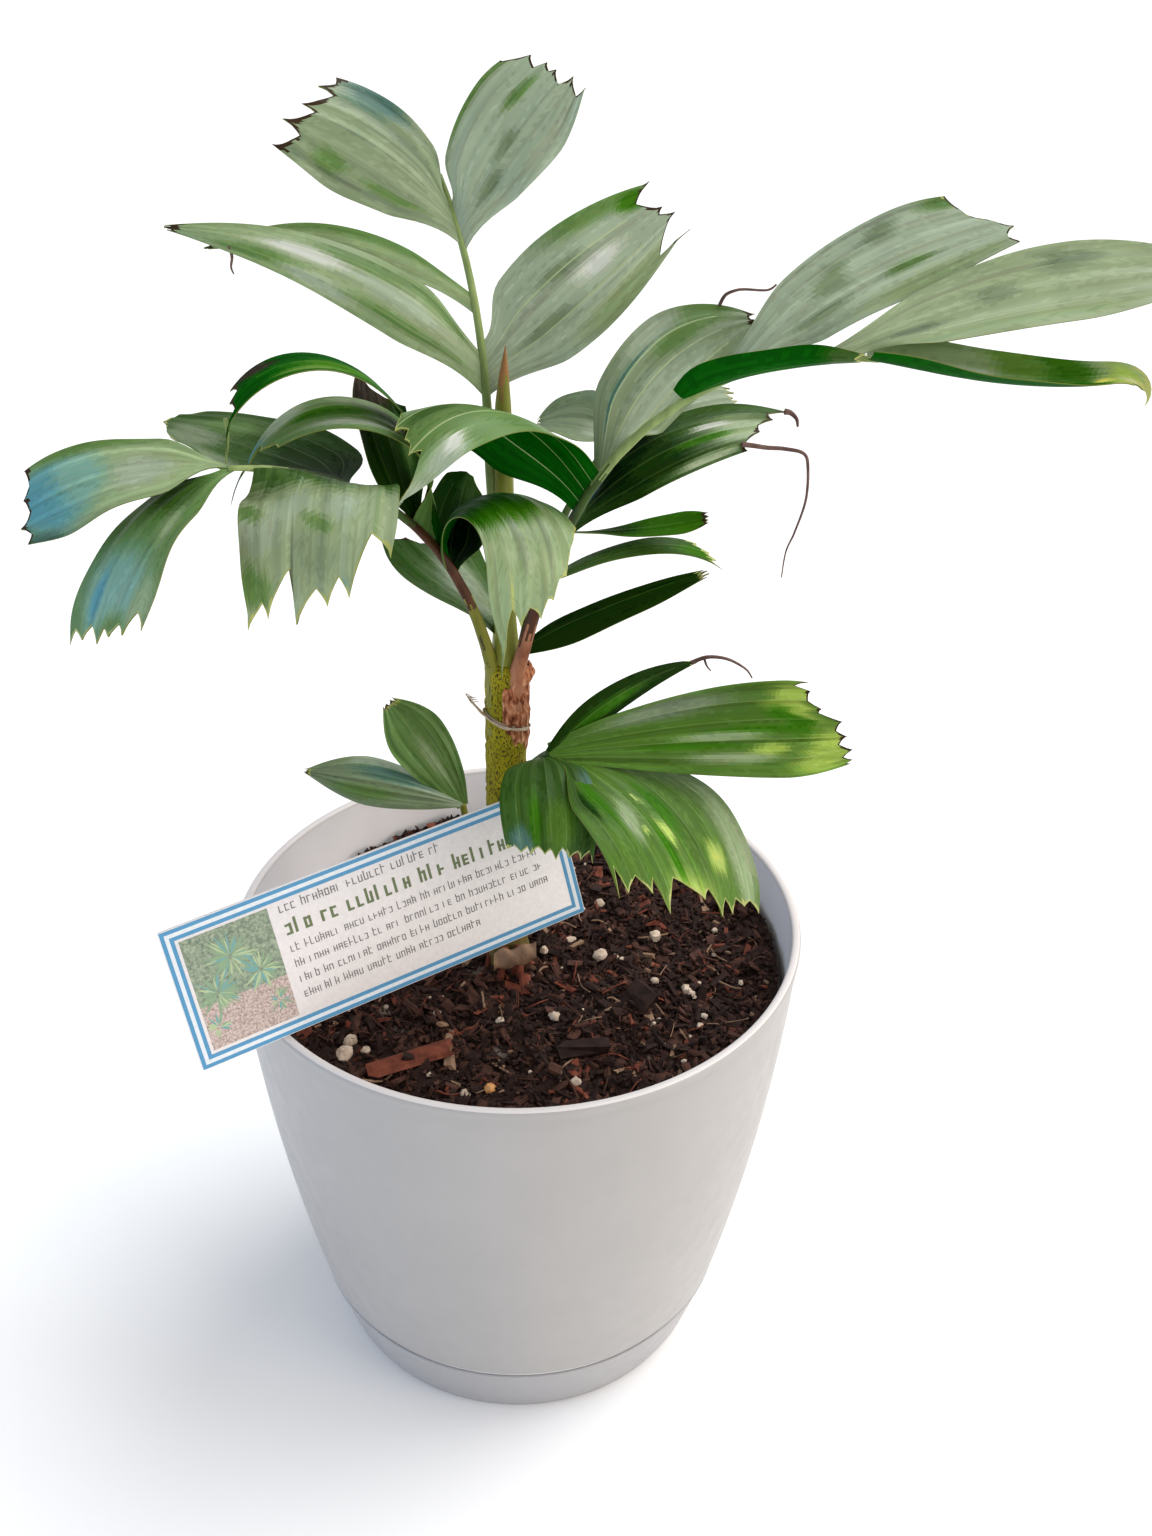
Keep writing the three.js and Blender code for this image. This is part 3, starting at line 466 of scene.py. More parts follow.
             full=0.3, tip=0.45, ease=1.8, cup=-0.1, slant=-0.15, tone="deep",
             shades=(("grass", 0.85, 0.2, 0.14, 0.6),), teeth=(3, 4), straw=4, veins=1),
        dict(at=44, long=50, wide=9, heading=(-10, -10), rise=(-2, 17), roll=(30, -46), root=0.2,
             full=0.8, tip=0.4, ease=0.6, tone="grass", shades=(("dark", 0.3, 0, 0.25, 1),),
             teeth=(3, 1.5), burnt=3, veins=1),
        dict(at=2, long=63, wide=29, heading=(170, 126), rise=(58, 12), roll=(-22, 35), root=0.4,
             full=0.65, tip=0.55, ease=1.2, slant=0.4, tone="deep",
             shades=(("shade", 0.4, 0, 0.2, 0.5), ("sage", 0.3, -0.2, 0.12, 0.3)),
             under="deep", teeth=(3, 3), burnt=1, veins=4),
        dict(at=83, long=61, wide=22, heading=(65, 61), rise=(46, 5), roll=(24, 18), root=0.4,
             full=0.4, tip=0.45, cup=0.2, slant=0.25, tone="deep", under="deep", teeth=(6, 4),
             burnt=1, veins=4),
        dict(at=84, long=29, wide=21, heading=(168, 158), rise=(26, -25), roll=(38, 25), root=0.2,
             full=0.45, tip=0.1, cup=0.3, tone="sage", under="sage", teeth=(3, 2), straw=0.6,
             veins=2),
        dict(at=84, long=46, wide=26, heading=(25, 30), rise=(30, -15), roll=(-35, -20), root=0.3,
             full=0.5, tip=0.5, tone="sage", under="sage", teeth=(5, 4), straw=1, veins=3),
    ],
    "low": [
        dict(at=38, long=60, wide=9, heading=(31, 32), rise=(36, -4), roll=(-57, -54), root=0.3,
             full=0.35, tip=0.1, tone="dark", shades=(("grass", 0.4, 0.2, 0.25, 0.4),),
             under="dark", teeth=(1, 1), straw=3, veins=1),
        dict(at=38, long=100, wide=31, heading=(5, 0), rise=(9, -3), roll=(-47, -54), root=0.2,
             full=0.75, tip=0.6, slant=-0.2, tone="leafy", streaks=0.08,
             shades=(("lime", 0.8, -0.55, 0.07, 0.4), ("lime", 0.88, 0.5, 0.1, 0.5),
                     ("lime", 0.66, 0.42, 0.06, 0.14), ("grass", 0.62, 0, 0.14, 0.1),
                     ("grass", 0.4, 0.3, 0.16, 0.08), ("shade", 0.4, -0.7, 0.2, 0.25),
                     ("grass", 0.76, -0.2, 0.05, 0.3), ("moss", 0.5, 0.12, 0.14, 0.1),
                     ("moss", 0.55, 0.6, 0.14, 0.12)),
             edge=((-1, 3), (-0.9, -2.5), (-0.82, 1.6), (-0.6, -1.5), (-0.46, 1.5), (-0.36, -0.5),
                   (-0.2, 5.6), (0.05, 1), (0.2, 3), (0.4, -1.5), (0.6, 1), (0.75, -3.5),
                   (0.9, -2), (0.95, -4.5), (1, -3.5)), burnt=1.4, veins=4),
        dict(at=32, long=89, wide=56, heading=(-29, -52), rise=(12, -85), roll=(6, -2), root=0.45,
             full=0.6, tip=0.9, span=8, slant=0.45, tone="leafy", streaks=0.06,
             shades=(("deep", 0.22, 0.85, 0.1, 0.16), ("dark", 0.3, 0.7, 0.08, 0.08),
                     ("grass", 0.3, 0.5, 0.14, 0.12), ("grass", 0.5, -0.2, 0.12, 0.1),
                     ("moss", 0.48, 0.3, 0.08, 0.12), ("lime", 0.62, -0.05, 0.05, 0.06),
                     ("lime", 0.57, 0.2, 0.02, 0.03), ("lime", 0.47, -0.02, 0.02, 0.03),
                     ("lime", 0.75, -0.5, 0.06, 0.1), ("yellow", 0.75, -0.5, 0.015, 0.02),
                     ("moss", 0.72, -0.85, 0.26, 0.18), ("lime", 0.9, 0.2, 0.12, 0.5),
                     ("grass", 0.7, 0.05, 0.12, 0.06)),
             edge=((-1, -1), (-0.85, -4), (-0.75, -1), (-0.62, -2.5), (-0.54, 3.5), (-0.46, -1),
                   (-0.36, 6), (-0.24, -2.5), (-0.14, 2), (0.2, -3), (0.4, 11), (0.48, -1),
                   (0.56, 5), (0.7, -0.5), (0.86, 6.5), (0.94, -2), (1, 9)), straw=1.3, veins=8),
        dict(at=32, long=45, wide=30, heading=(-89, -81), rise=(33, -92), roll=(6, -8), root=0.45,
             full=0.6, tip=0.85, cup=-0.1, span=8, slant=0.1, tone="deep", streaks=0.08,
             shades=(("fresh", 0.75, -0.2, 0.2, 0.3), ("teal", 0.85, 0.6, 0.1, 0.3),
                     ("teal", 0.5, -0.9, 0.2, 0.2), ("grass", 0.7, 0.3, 0.2, 0.12)),
             teeth=(7, 3.5), straw=1.2, veins=5),
    ],
    "side": [
        dict(at=37, long=50, wide=22, heading=(168, 168), rise=(63, 51), roll=(63, 52), root=0.2,
             full=0.65, tip=0.2, tone="green", streaks=0.12,
             shades=(("moss", 0.4, 0, 0.2, 0.2), ("yellow", 0.97, 0.5, 0.03, 0.4)),
             teeth=(3, 2), straw=2, burnt=1, veins=5),
        dict(at=38, long=60, wide=18, heading=(195, 176), rise=(30, 5), roll=(35, 65), root=0.15,
             full=0.6, tip=0.1, cup=-0.3, tone="shade", streaks=0.1,
             shades=(("teal", 0.5, 0.4, 0.25, 0.3), ("green", 0.7, -0.5, 0.2, 0.3)),
             teeth=(3, 2), straw=2, burnt=1, veins=5),
    ],
}


# Materials

class Surface:
    """A material as its nodes are put together, round the shader that it starts with."""

    def __init__(self, name):
        self.material = bpy.data.materials.new(name)
        self.material.use_nodes = True
        self.tree = self.material.node_tree
        self.shader = self.tree.nodes["Principled BSDF"]

    def fill(self, node, inputs):
        """Set a node's inputs to values, or link them to other nodes' outputs."""
        for name, value in inputs.items():
            if isinstance(value, bpy.types.NodeSocket):
                self.tree.links.new(value, node.inputs[name])
            else:
                node.inputs[name].default_value = value

    def node(self, kind, inputs):
        made = self.tree.nodes.new(kind)
        self.fill(made, inputs)
        return made

    def places(self, kind):
        return self.node("ShaderNodeTexCoord", {}).outputs[kind]

    def noise(self, places, scale, stretch=(1, 1, 1), detail=4):
        mapped = self.node("ShaderNodeMapping", {"Vector": places, "Scale": stretch})
        texture = self.node("ShaderNodeTexNoise", {
            "Vector": mapped.outputs["Vector"], "Scale": scale, "Detail": detail,
            "Roughness": NOISE_ROUGH})
        return texture.outputs["Fac"]

    def ramp(self, noise, colours, stops):
        """Colours at these values of a noise."""
        node = self.node("ShaderNodeValToRGB", {"Fac": noise})
        elements = node.color_ramp.elements
        while len(elements) < len(stops):
            elements.new(0.5)
        for element, colour, stop in zip(elements, colours, stops):
            element.position = stop
            element.color = (*colour, 1)
        return node.outputs["Color"]

    def mix(self, kind, factor, a, b):
        """Colour b blended over colour a."""
        node = self.tree.nodes.new("ShaderNodeMix")
        node.data_type = "RGBA"
        node.blend_type = kind
        self.fill(node, {"Factor": factor, "A": a, "B": b})
        return node.outputs["Result"]

    def finish(self, colour, rough, rough_noise, relief, shine):
        """Colour, roughness between two values by a noise, and relief from noises, each with its
        strength and its depth in millimetres."""
        spread = self.node("ShaderNodeMapRange", {
            "Value": rough_noise, "From Min": STOPS[0], "From Max": STOPS[1],
            "To Min": rough[0], "To Max": rough[1]})
        normal = None
        for height, strength, depth in relief:
            bump = self.node("ShaderNodeBump", {
                "Height": height, "Strength": strength, "Distance": depth * MM})
            if normal:
                self.fill(bump, {"Normal": normal})
            normal = bump.outputs["Normal"]
        self.fill(self.shader, {"Base Color": colour, "Roughness": spread.outputs["Result"],
                                "Normal": normal, "Specular IOR Level": shine})
        return self.material


def scaled(colour, factor):
    return tuple(min(1.0, c * factor) for c in colour)


def seen(tone, gloss):
    """The base colour that shows as this 0-255 tone under the studio light and its own sheen."""
    return tuple(max(DARKEST, (c / 255) ** DISPLAY_CURVE - HAZE * gloss) for c in tone)


def leaf_material(name, colour, gloss):
    """Fine parallel streaks run along the leaflet, with softer blotches over them."""
    surface = Surface(name)
    on_leaf = surface.places("UV")
    streak = surface.noise(on_leaf, 1, STREAK_STRETCH, 4)
    fine = surface.noise(on_leaf, 1, FINE_STRETCH, 3)
    blotch = surface.noise(surface.places("Object"), BLOTCH_SCALE)
    base = surface.ramp(blotch, [scaled(colour, share) for share in BLOTCH_SHARES], STOPS)
    lines = surface.ramp(streak, [(share,) * 3 for share in STREAK_SHARES], STREAK_STOPS)
    rough = LEAF_ROUGH - GLOSS_ROUGH * gloss
    surface.fill(surface.shader, {"Coat Weight": LEAF_COAT * gloss, "Coat Roughness": COAT_ROUGH})
    return surface.finish(surface.mix("MULTIPLY", 1.0, base, lines), (rough, rough + 0.1), blotch,
                          [(streak, 0.2, 0.3), (fine, 0.15, 0.15)], LEAF_SHINE * gloss)


leaf_materials = []
leaf_kinds = {}


def leaf_kind(tone):
    """The number of the leaf material for a tone, made when it is first asked for. Pale tones get
    the most gloss; dark and saturated ones, many of them painted shade, hardly shine."""
    key = tuple(int(c) for c in tone)
    if key not in leaf_kinds:
        leaf_kinds[key] = len(leaf_materials)
        gloss = max(MATT, min(1.0, (min(key) / WAXY_TONE) ** 1.5))
        leaf_materials.append(leaf_material("leaf_%d_%d_%d" % key, seen(key, gloss), gloss))
    return leaf_kinds[key]


def kinds_of(tones, dither=0.0):
    """The leaf material for each of an array of tones. Green is rounded to a step after the
    dither; red and blue keep their distance from it to a finer step, so that no hue shifts."""
    green = np.round(tones[..., 1] / TONE_STEP + dither)[..., None] * TONE_STEP
    tint = np.round((tones - tones[..., 1:2]) / TINT_STEP) * TINT_STEP
    steps = np.clip(green + tint, 0, 255).astype(int)
    found, which = np.unique(steps.reshape(-1, 3), axis=0, return_inverse=True)
    numbers = np.array([leaf_kind(tone) for tone in found])
    return numbers[which.ravel()].tolist()


def grained_material(name, colours, scale, rough=0.75, relief=0.4, upward=1, stops=None,
                     specks=None, shine=0.5):
    """Grain in the object's own space, drawn out along Z where upward is under 1, with optional
    specks over it: their colour, how fine they are and the noise that they start at."""
    surface = Surface(name)
    places = surface.places("Object")
    stretch = (1, 1, upward)
    grain = surface.noise(places, scale, stretch, 6)
    fine = surface.noise(places, scale * FINER, stretch, 4)
    colour = surface.ramp(grain, colours, stops or STOPS)
    if specks:
        tint, size, start = specks
        mask = surface.ramp(surface.noise(places, size, stretch, 2), ((0, 0, 0), (1, 1, 1)),
                            (start, start + SPECK_EDGE))
        flat = surface.ramp(fine, [scaled(tint, share) for share in SPECK_SHARES], STOPS)
        colour = surface.mix("MIX", mask, colour, flat)
    return surface.finish(colour, (rough - 0.08, rough + 0.08), fine,
                          [(grain, 0.5, relief), (fine, 0.4, relief * 0.3)], shine)


def plain_material(name, colour, scale, rough, change):
    """One colour with a faint grain, darker and lighter by these shares."""
    return grained_material(name, [scaled(colour, share) for share in change], scale, rough,
                            FAINT_RELIEF)


# Meshes

class Parts:
    """Vertices, faces, materials and leaf places gathered for one piece."""

    def __init__(self):
        self.points, self.faces, self.kinds, self.places = [], [], [], []
        self.count = 0

    def add(self, points, faces, kinds, places=None):
        self.points.append(np.asarray(points, float))
        self.faces += [tuple(int(v) + self.count for v in face) for face in faces]
        self.kinds += kinds if isinstance(kinds, list) else [kinds] * len(faces)
        self.places.append(np.zeros((len(points), 2)) if places is None else places)
        self.count += len(points)

    def make(self, name, materials, sharp=None, smooth=True, mapped=False, stands_for=()):
        used = sorted(set(self.kinds))
        mesh = bpy.data.meshes.new(name)
        mesh.from_pydata((np.concatenate(self.points) * MM).tolist(), [], self.faces)
        for kind in used:
            mesh.materials.append(materials[kind])
        order = {kind: i for i, kind in enumerate(used)}
        mesh.polygons.foreach_set("material_index", [order[kind] for kind in self.kinds])
        mesh.polygons.foreach_set("use_smooth", [smooth] * len(self.faces))
        if mapped:
            layer = mesh.uv_layers.new(name="Leaf")
            corner = np.zeros(len(mesh.loops), np.int32)
            mesh.loops.foreach_get("vertex_index", corner)
            layer.data.foreach_set("uv", np.concatenate(self.places)[corner].ravel())
        mesh.update()
        if sharp:
            mesh.set_sharp_from_angle(angle=math.radians(sharp))
        made = bpy.data.objects.new(name, mesh)
        bpy.context.scene.collection.objects.link(made)
        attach(made, "root")
        if stands_for:
            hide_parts(*stands_for)
        return made


def grid_faces(rows, columns, closed=False):
    """Quads of a grid with this many points each way; closed joins its last column to its first."""
    i, j = np.meshgrid(np.arange(rows - 1), np.arange(columns if closed else columns - 1),
                       indexing="ij")
    a = (i * columns + j).ravel()
    b = (i * columns + (j + 1) % columns).ravel()
    quads = np.stack([a, b, b + columns, a + columns], 1)
    return quads


def closed_faces(rows, columns):
    """Faces of rings joined into a tube, with a middle point for its first end and one for its
    last after the rings' own points."""
    first = rows * columns
    base = first - columns
    faces = grid_faces(rows, columns, closed=True).tolist()
    for k in range(columns):
        after = (k + 1) % columns
        faces.append((first, after, k))
        faces.append((first + 1, base + k, base + after))
    return faces


def sheet_faces(rows, columns):
    """Faces of a thin sheet with its far side's points after its near side's: the quads of both
    sides, then those of its edges, and how many these are."""
    total = rows * columns
    quads = grid_faces(rows, columns)
    edges = []
    for k in np.arange(rows - 1) * columns:
        end = k + columns - 1
        edges.append((k, k + columns, total + k + columns, total + k))
        edges.append((end, total + end, total + end + columns, end + columns))
    for j in range(columns - 1):
        last = total - columns + j
        edges.append((j, total + j, total + j + 1, j + 1))
        edges.append((last, last + 1, total + last + 1, total + last))
    return quads.tolist() + (quads[:, ::-1] + total).tolist() + edges, len(edges)


def around(count):
    """Angles of a full turn."""
    return np.linspace(0, 2 * np.pi, count, endpoint=False)


def hump(distance, reach):
    """A soft rise, 1 in its middle."""
    return np.exp(-((distance / reach) ** 2))


def smoothstep(v):
    v = np.clip(v, 0, 1)
    return v * v * (3 - 2 * v)


def unit(v):
    return v / np.maximum(np.linalg.norm(v, axis=-1, keepdims=True), 1e-12)


def direction(heading, rise):
    level = np.cos(rise)
    return np.stack([level * np.cos(heading), level * np.sin(heading), np.sin(rise)], -1)


# Limbs and leaflets, by the same rule as the solids

def path(start, long, heading, rise, ease, steps, hook=0, reach=1.0):
    """The line runs on past its own length, up to this reach, for teeth that stand out there."""
    count = round(steps * reach)
    share = np.arange(count + 1) / steps
    turned = share**ease
    a = np.radians(heading[0] + (heading[1] - heading[0]) * turned)
    e = np.radians(rise[0] + (rise[1] - rise[0]) * turned)
    e = e + np.radians(hook) * np.clip((share - HOOK_FROM) / (1 - HOOK_FROM), 0, 1) ** 2
    way = direction((a[1:] + a[:-1]) / 2, (e[1:] + e[:-1]) / 2) * long / steps
    points = np.concatenate([[np.array(start, float)], np.array(start, float) + way.cumsum(0)])
    return dict(points=points, heading=a, rise=e, long=long, share=share)


def along_line(line, distance):
    share = np.asarray(distance, float) / line["long"]
    return np.stack([np.interp(share, line["share"], line["points"][:, k]) for k in range(3)], -1)


def limb_line(name):
    limb = LIMBS[name]
    return path(limb["start"], limb["long"], limb["heading"], limb["rise"], limb["ease"],
                RIB_STEPS)


def width_share(leaf, share):
    rise = leaf["root"] + (1 - leaf["root"]) * np.sin(np.pi / 2 * share / leaf["full"])
    fall = np.clip((share - leaf["full"]) / (1 - leaf["full"]), 0, 1) ** TIP_FALL
    return np.where(share < leaf["full"], rise, 1 + (leaf["tip"] - 1) * fall)


def torn_end(leaf, random):
    """Tips and notches across the leaflet's end, tip first and tip last."""
    if "edge" in leaf:
        return leaf["edge"]
    count, depth = leaf["teeth"]
    marks = [(-1.0, depth * random.uniform(*SIDE_TIP))]
    for k in range(count):
        notch = -1 + 2 * (k + random.uniform(*NOTCH_PLACE)) / count
        tip = -1 + 2 * (k + 1 + random.uniform(-TIP_SHIFT, TIP_SHIFT)) / count
        marks.append((notch, -depth * random.uniform(*NOTCH_DEPTH)))
        marks.append((tip if k < count - 1 else 1.0, depth * random.uniform(*TIP_RISE)))
    return marks


def end_offset(marks, across):
    """How far each column reaches past the mean end, and how near it is to a tip."""
    past = np.zeros_like(across)
    near = np.zeros_like(across)
    for k in range(len(marks) - 1):
        (a0, o0), (a1, o1) = marks[k], marks[k + 1]
        inside = (across >= a0 - 1e-9) & (across <= a1 + 1e-9)
        t = (across[inside] - a0) / (a1 - a0)
        t = t if k % 2 == 0 else 1 - t
        tip, notch = (o0, o1) if k % 2 == 0 else (o1, o0)
        past[inside] = tip + (notch - tip) * np.clip(t, 0, 1) ** TOOTH_CURVE
        near[inside] = 1 - t
    return past, near


def leaf_columns(leaf, marks):
    """Places across the leaflet: an even spread, each tooth's tip and notch, and both sides of
    every main vein."""
    step = COLUMN / (leaf["wide"] / 2)
    fixed = [a for a, _ in marks]
    veins = [-1 + 2 * (k + 1) / (leaf["veins"] + 1) for k in range(leaf["veins"])]
    thin = VEIN_HALF / (leaf["wide"] / 2)
    for v in veins:
        fixed += [v - thin, v + thin]
    fixed = sorted(set(fixed))
    kept = [fixed[0]]
    for a in fixed[1:]:
        if a - kept[-1] > thin * COLUMN_CLEAR:
            kept.append(a)
    kept[-1] = 1.0
    filled = []
    for a, b in zip(kept, kept[1:]):
        parts = max(1, round((b - a) / step))
        filled += [a + (b - a) * k / parts for k in range(parts)]
    places = np.array(filled + [1.0])
    middles = (places[1:] + places[:-1]) / 2
    on_vein = np.zeros(len(middles), bool)
    for v in veins:
        on_vein |= (np.abs(middles - v) < thin) & (np.diff(places) < thin * VEIN_COLUMN)
    return places, on_vein


def leaf_frame(leaf, limb, share):
    """Centre, forward, side and normal directions at each share of a leaflet's length."""
    start = along_line(limb, leaf["at"])
    mid = path(start, leaf["long"], leaf["heading"], leaf["rise"], leaf.get("ease", 1),
               PATH_STEPS, leaf.get("hook", 0), PATH_REACH)
    a = np.interp(share, mid["share"], mid["heading"])
    e = np.interp(share, mid["share"], mid["rise"])
    forward = direction(a, e)
    right = np.stack([np.sin(a), -np.cos(a), 0 * a], -1)
    above = np.cross(right, forward)
    roll = leaf["roll"]
    r = np.radians(roll[0] + (roll[1] - roll[0]) * share)[..., None]
    side = right * np.cos(r) + above * np.sin(r)
    normal = above * np.cos(r) - right * np.sin(r)
    return along_line(mid, share * leaf["long"]), forward, side, normal


def leaf_surface(leaf, limb, share, across, random):
    """Points of the leaflet's middle surface, with faint pleats and waves."""
    centre, _, side, normal = leaf_frame(leaf, limb, share)
    half = leaf["wide"] / 2 * width_share(leaf, share)
    fade = smoothstep(share / RELIEF_FROM)
    ridges = np.cos(np.pi * (leaf["veins"] + 1) * (across + 1))
    pleat = PLEAT * min(1, leaf["wide"] / PLEAT_WIDE) * ridges * fade
    phase = random.uniform(0, 2 * np.pi, 4)
    wave = WAVE * leaf["wide"] * fade * (
        np.sin(9 * share + phase[0] + 1.5 * across) * across**2
        + 0.5 * np.sin(15 * share + phase[1] - 2 * across) * across**3
        + 0.3 * np.sin(6 * share + phase[2]) * np.cos(4 * across + phase[3]))
    lift = leaf.get("cup", 0) * half * across**2 + pleat + wave
    points = centre + side * (across * half)[..., None] + normal * lift[..., None]
    span = leaf.get("span", 0)
    if span:
        start = along_line(limb, leaf["at"])
        rib_way = along_line(limb, leaf["at"] + 1) - along_line(limb, leaf["at"] - 1)
        sign = 1 if side[0, 0] @ rib_way >= 0 else -1
        on_rib = along_line(limb, leaf["at"] + sign * across * span / 2)
        blend = (1 - smoothstep(share / ROOT_BLEND))[..., None]
        points = points + (on_rib + centre - start - points) * blend
    return points


def leaf_tones(leaf, share, across, random, own, shades):
    """A tone for each face, from one side's own tone, its shades (many of them painted light and
    shade) and faint streaks.
    """
    tones = np.zeros((*share.shape, 3)) + TONES[own]
    drift = random.normal(0, SHADE_DRIFT, share.shape[1]).cumsum()
    drift = drift - np.linspace(0, drift[-1], len(drift))
    for tone, along, place, reach, width in shades:
        apart = ((share + drift - along) / reach) ** 2 + ((across - place) / width) ** 2
        near = smoothstep(SHADE_CORE * np.exp(-apart))[..., None]
        tones = tones + near * (TONES[tone] - tones)
    return tones * (1 + streaks(leaf, share, random))


def streaks(leaf, share, random):
    """Faint light and dark lines that run along the leaflet, as shares of its tone."""
    strength = leaf.get("streaks", STREAK)
    lines = random.normal(0, strength, share.shape[1])
    lines = (lines + np.roll(lines, 1)) * 0.7
    phase = random.uniform(0, 2 * np.pi, share.shape[1]).round(0)
    change = 0.6 + 0.4 * np.sin(5 * share + phase)
    return (lines * change + random.uniform(-MOTTLE, MOTTLE, share.shape))[..., None]


def add_leaflet(parts, leaf, limb, random):
    marks = torn_end(leaf, random)
    across, on_vein = leaf_columns(leaf, marks)
    past, near = end_offset(marks, across)
    rows = int(np.clip(leaf["long"] / ROW_LONG, *ROW_LIMITS))
    grown = 1 - (1 - np.linspace(0, 1, rows + 1)) ** ROW_CROWDING
    slant = leaf.get("slant", 0)
    end = 1 - (abs(slant) + slant * across) / 2 + past / leaf["long"]
    share = grown[:, None] * end[None, :]
    points = leaf_surface(leaf, limb, share, across[None, :], random)
    facing = unit(np.cross(np.gradient(points, axis=1), np.gradient(points, axis=0)))
    thick = LEAF_THICK * (1 - EDGE_THIN * np.abs(across) ** 6)[None, :, None]
    upper = points + facing * thick / 2
    lower = points - facing * thick / 2
    width = len(across)
    faces, edges = sheet_faces(rows + 1, width)
    # Tones by face: shades, veins, pale and burnt tips
    cell_share = (share[1:, 1:] + share[:-1, :-1]) / 2
    cell_across = ((across[1:] + across[:-1]) / 2)[None, :]
    to_end = (end[None, 1:] + end[None, :-1]) / 2 - cell_share
    nearness = ((near[1:] + near[:-1]) / 2)[None, :] ** 1.5
    upper_tones = leaf_tones(leaf, cell_share, cell_across, random, leaf["tone"],
                             leaf.get("shades", ()))
    lower_tones = leaf_tones(leaf, cell_share, cell_across, random, leaf.get("under", "leafy"),
                             leaf.get("below", ()))
    strength = VEIN_BRIGHT if leaf.get("bright") else VEIN_FAINT
    for tones in (upper_tones, lower_tones):
        on_line = (cell_share < VEIN_TO) & on_vein[None, :]
        tones[on_line] += strength * (TONES["vein"] - tones[on_line])
        for tone in ("straw", "burnt"):
            reach = leaf.get(tone, 0) / leaf["long"]
            ragged = reach * (0.25 + nearness) * random.uniform(*TIP_RAGGED, (1, width - 1))
            tones[to_end < ragged] = TONES[tone]
    by_column, by_face = TONE_DITHER
    dither = (random.uniform(-by_column, by_column, (1, width - 1))
              + random.uniform(-by_face, by_face, cell_share.shape))
    kinds = kinds_of(upper_tones, dither) + kinds_of(lower_tones, dither)
    kinds += kinds_of(np.array([TONES["margin"]])) * edges
    half = leaf["wide"] / 2 * width_share(leaf, share)
    places = np.stack([across * half, share * leaf["long"]], -1).reshape(-1, 2) / MAP_SCALE
    places = places + random.uniform(0, 9, 2)
    parts.add(np.concatenate([upper.reshape(-1, 3), lower.reshape(-1, 3)]), faces, kinds,
              np.concatenate([places, places]))


def add_tube(parts, line, radius, sides, kind=0, ridges=0.0, count=0):
    """A tube along a line of points, closed at both ends; ridges flute it lengthwise. Its
    material is one kind, or one for each face of each step of the line."""
    line = np.asarray(line, float)
    radius = np.broadcast_to(np.asarray(radius, float), (len(line),))
    way = unit(np.gradient(line, axis=0))
    side = np.array([1.0, 0.02, 0.0])
    rings = []
    turn = around(sides)
    for p, w, r in zip(line, way, radius):
        side = unit(side - w * (side @ w))
        bulge = r * (1 + ridges * np.cos(count * turn))
        rings.append(p + np.outer(bulge * np.cos(turn), side)
                     + np.outer(bulge * np.sin(turn), np.cross(w, side)))
    kinds = np.broadcast_to(kind, (len(line) - 1, sides))
    ends = [int(kinds[0, 0]), int(kinds[-1, 0])]
    parts.add(np.concatenate([*rings, line[:1], line[-1:]]), closed_faces(len(line), sides),
              kinds.ravel().tolist() + ends * sides)


def smooth_line(points, count):
    """A rounded line through a few points."""
    points = np.asarray(points, float)
    t = np.linspace(0, len(points) - 1, count)
    i = np.clip(t.astype(int), 0, len(points) - 2)
    f = (t - i)[:, None]
    before = points[np.maximum(i - 1, 0)]
    after = points[np.minimum(i + 2, len(points) - 1)]
    a, b = points[i], points[i + 1]
    return 0.5 * (2 * a + (b - before) * f + (2 * before - 5 * a + 4 * b - after) * f**2
                  + (3 * a - before - 3 * b + after) * f**3)


def soil_height(radius):
    outward = np.clip((radius - SOIL_FLAT) / (RIM_RADIUS - SOIL_FLAT), 0, 1)
    return SOIL_LEVEL + SOIL_DOME * (1 - outward * outward)


def wall_radius(height):
    share = (height - SEAM_HEIGHT) / (POT_HEIGHT - SEAM_HEIGHT)
    return SEAM_RADIUS + (RIM_RADIUS - SEAM_RADIUS) * (share + WALL_BELLY * share * (1 - share))


# Leaflets, one piece a frond

def node_of(name):
    return "side_shoot" if name == "side" else "frond_" + name


for seed, name in enumerate(LEAFLETS, 20):
    random = np.random.default_rng(seed)
    blades = Parts()
    rib = limb_line(name)
    for leaf in LEAFLETS[name]:
        add_leaflet(blades, leaf, rib, random)
    blades.make(node_of(name) + "_leaflets", leaf_materials, sharp=50, mapped=True,
                stands_for=[node_of(name)])

# Stalks: the ribs under the leaflets, running down into the sheaths that clasp the stem. Each
# has the points and radii of its foot, its thickness as a share of the rib's, and the materials it
# takes from these shares of its length.
STALK_MATERIALS = [
    grained_material("stalk_olive", ((0.1, 0.105, 0.01), (0.2, 0.2, 0.025)), 200, rough=0.5,
                     relief=0.2, upward=0.1, specks=((0.04, 0.03, 0.01), 900, 0.58), shine=0.25),
    grained_material("stalk_red_brown", ((0.03, 0.01, 0.004), (0.09, 0.032, 0.012)), 260,
                     rough=0.5, relief=0.2, upward=0.15, shine=0.2),
    grained_material("stalk_dark", ((0.02, 0.045, 0.008), (0.055, 0.1, 0.02)), 240, rough=0.5,
                     relief=0.2, upward=0.15, shine=0.2),
    grained_material("stalk_green", ((0.14, 0.2, 0.055), (0.25, 0.33, 0.11)), 240, rough=0.5,
                     relief=0.2, upward=0.12, shine=0.3),
    grained_material("stalk_dry", ((0.16, 0.05, 0.022), (0.42, 0.19, 0.1)), 200, rough=0.7,
                     upward=0.4, shine=0.15),
]
OLIVE_STALK, RED_STALK, DARK_STALK, GREEN_STALK, DRY_STALK = range(len(STALK_MATERIALS))
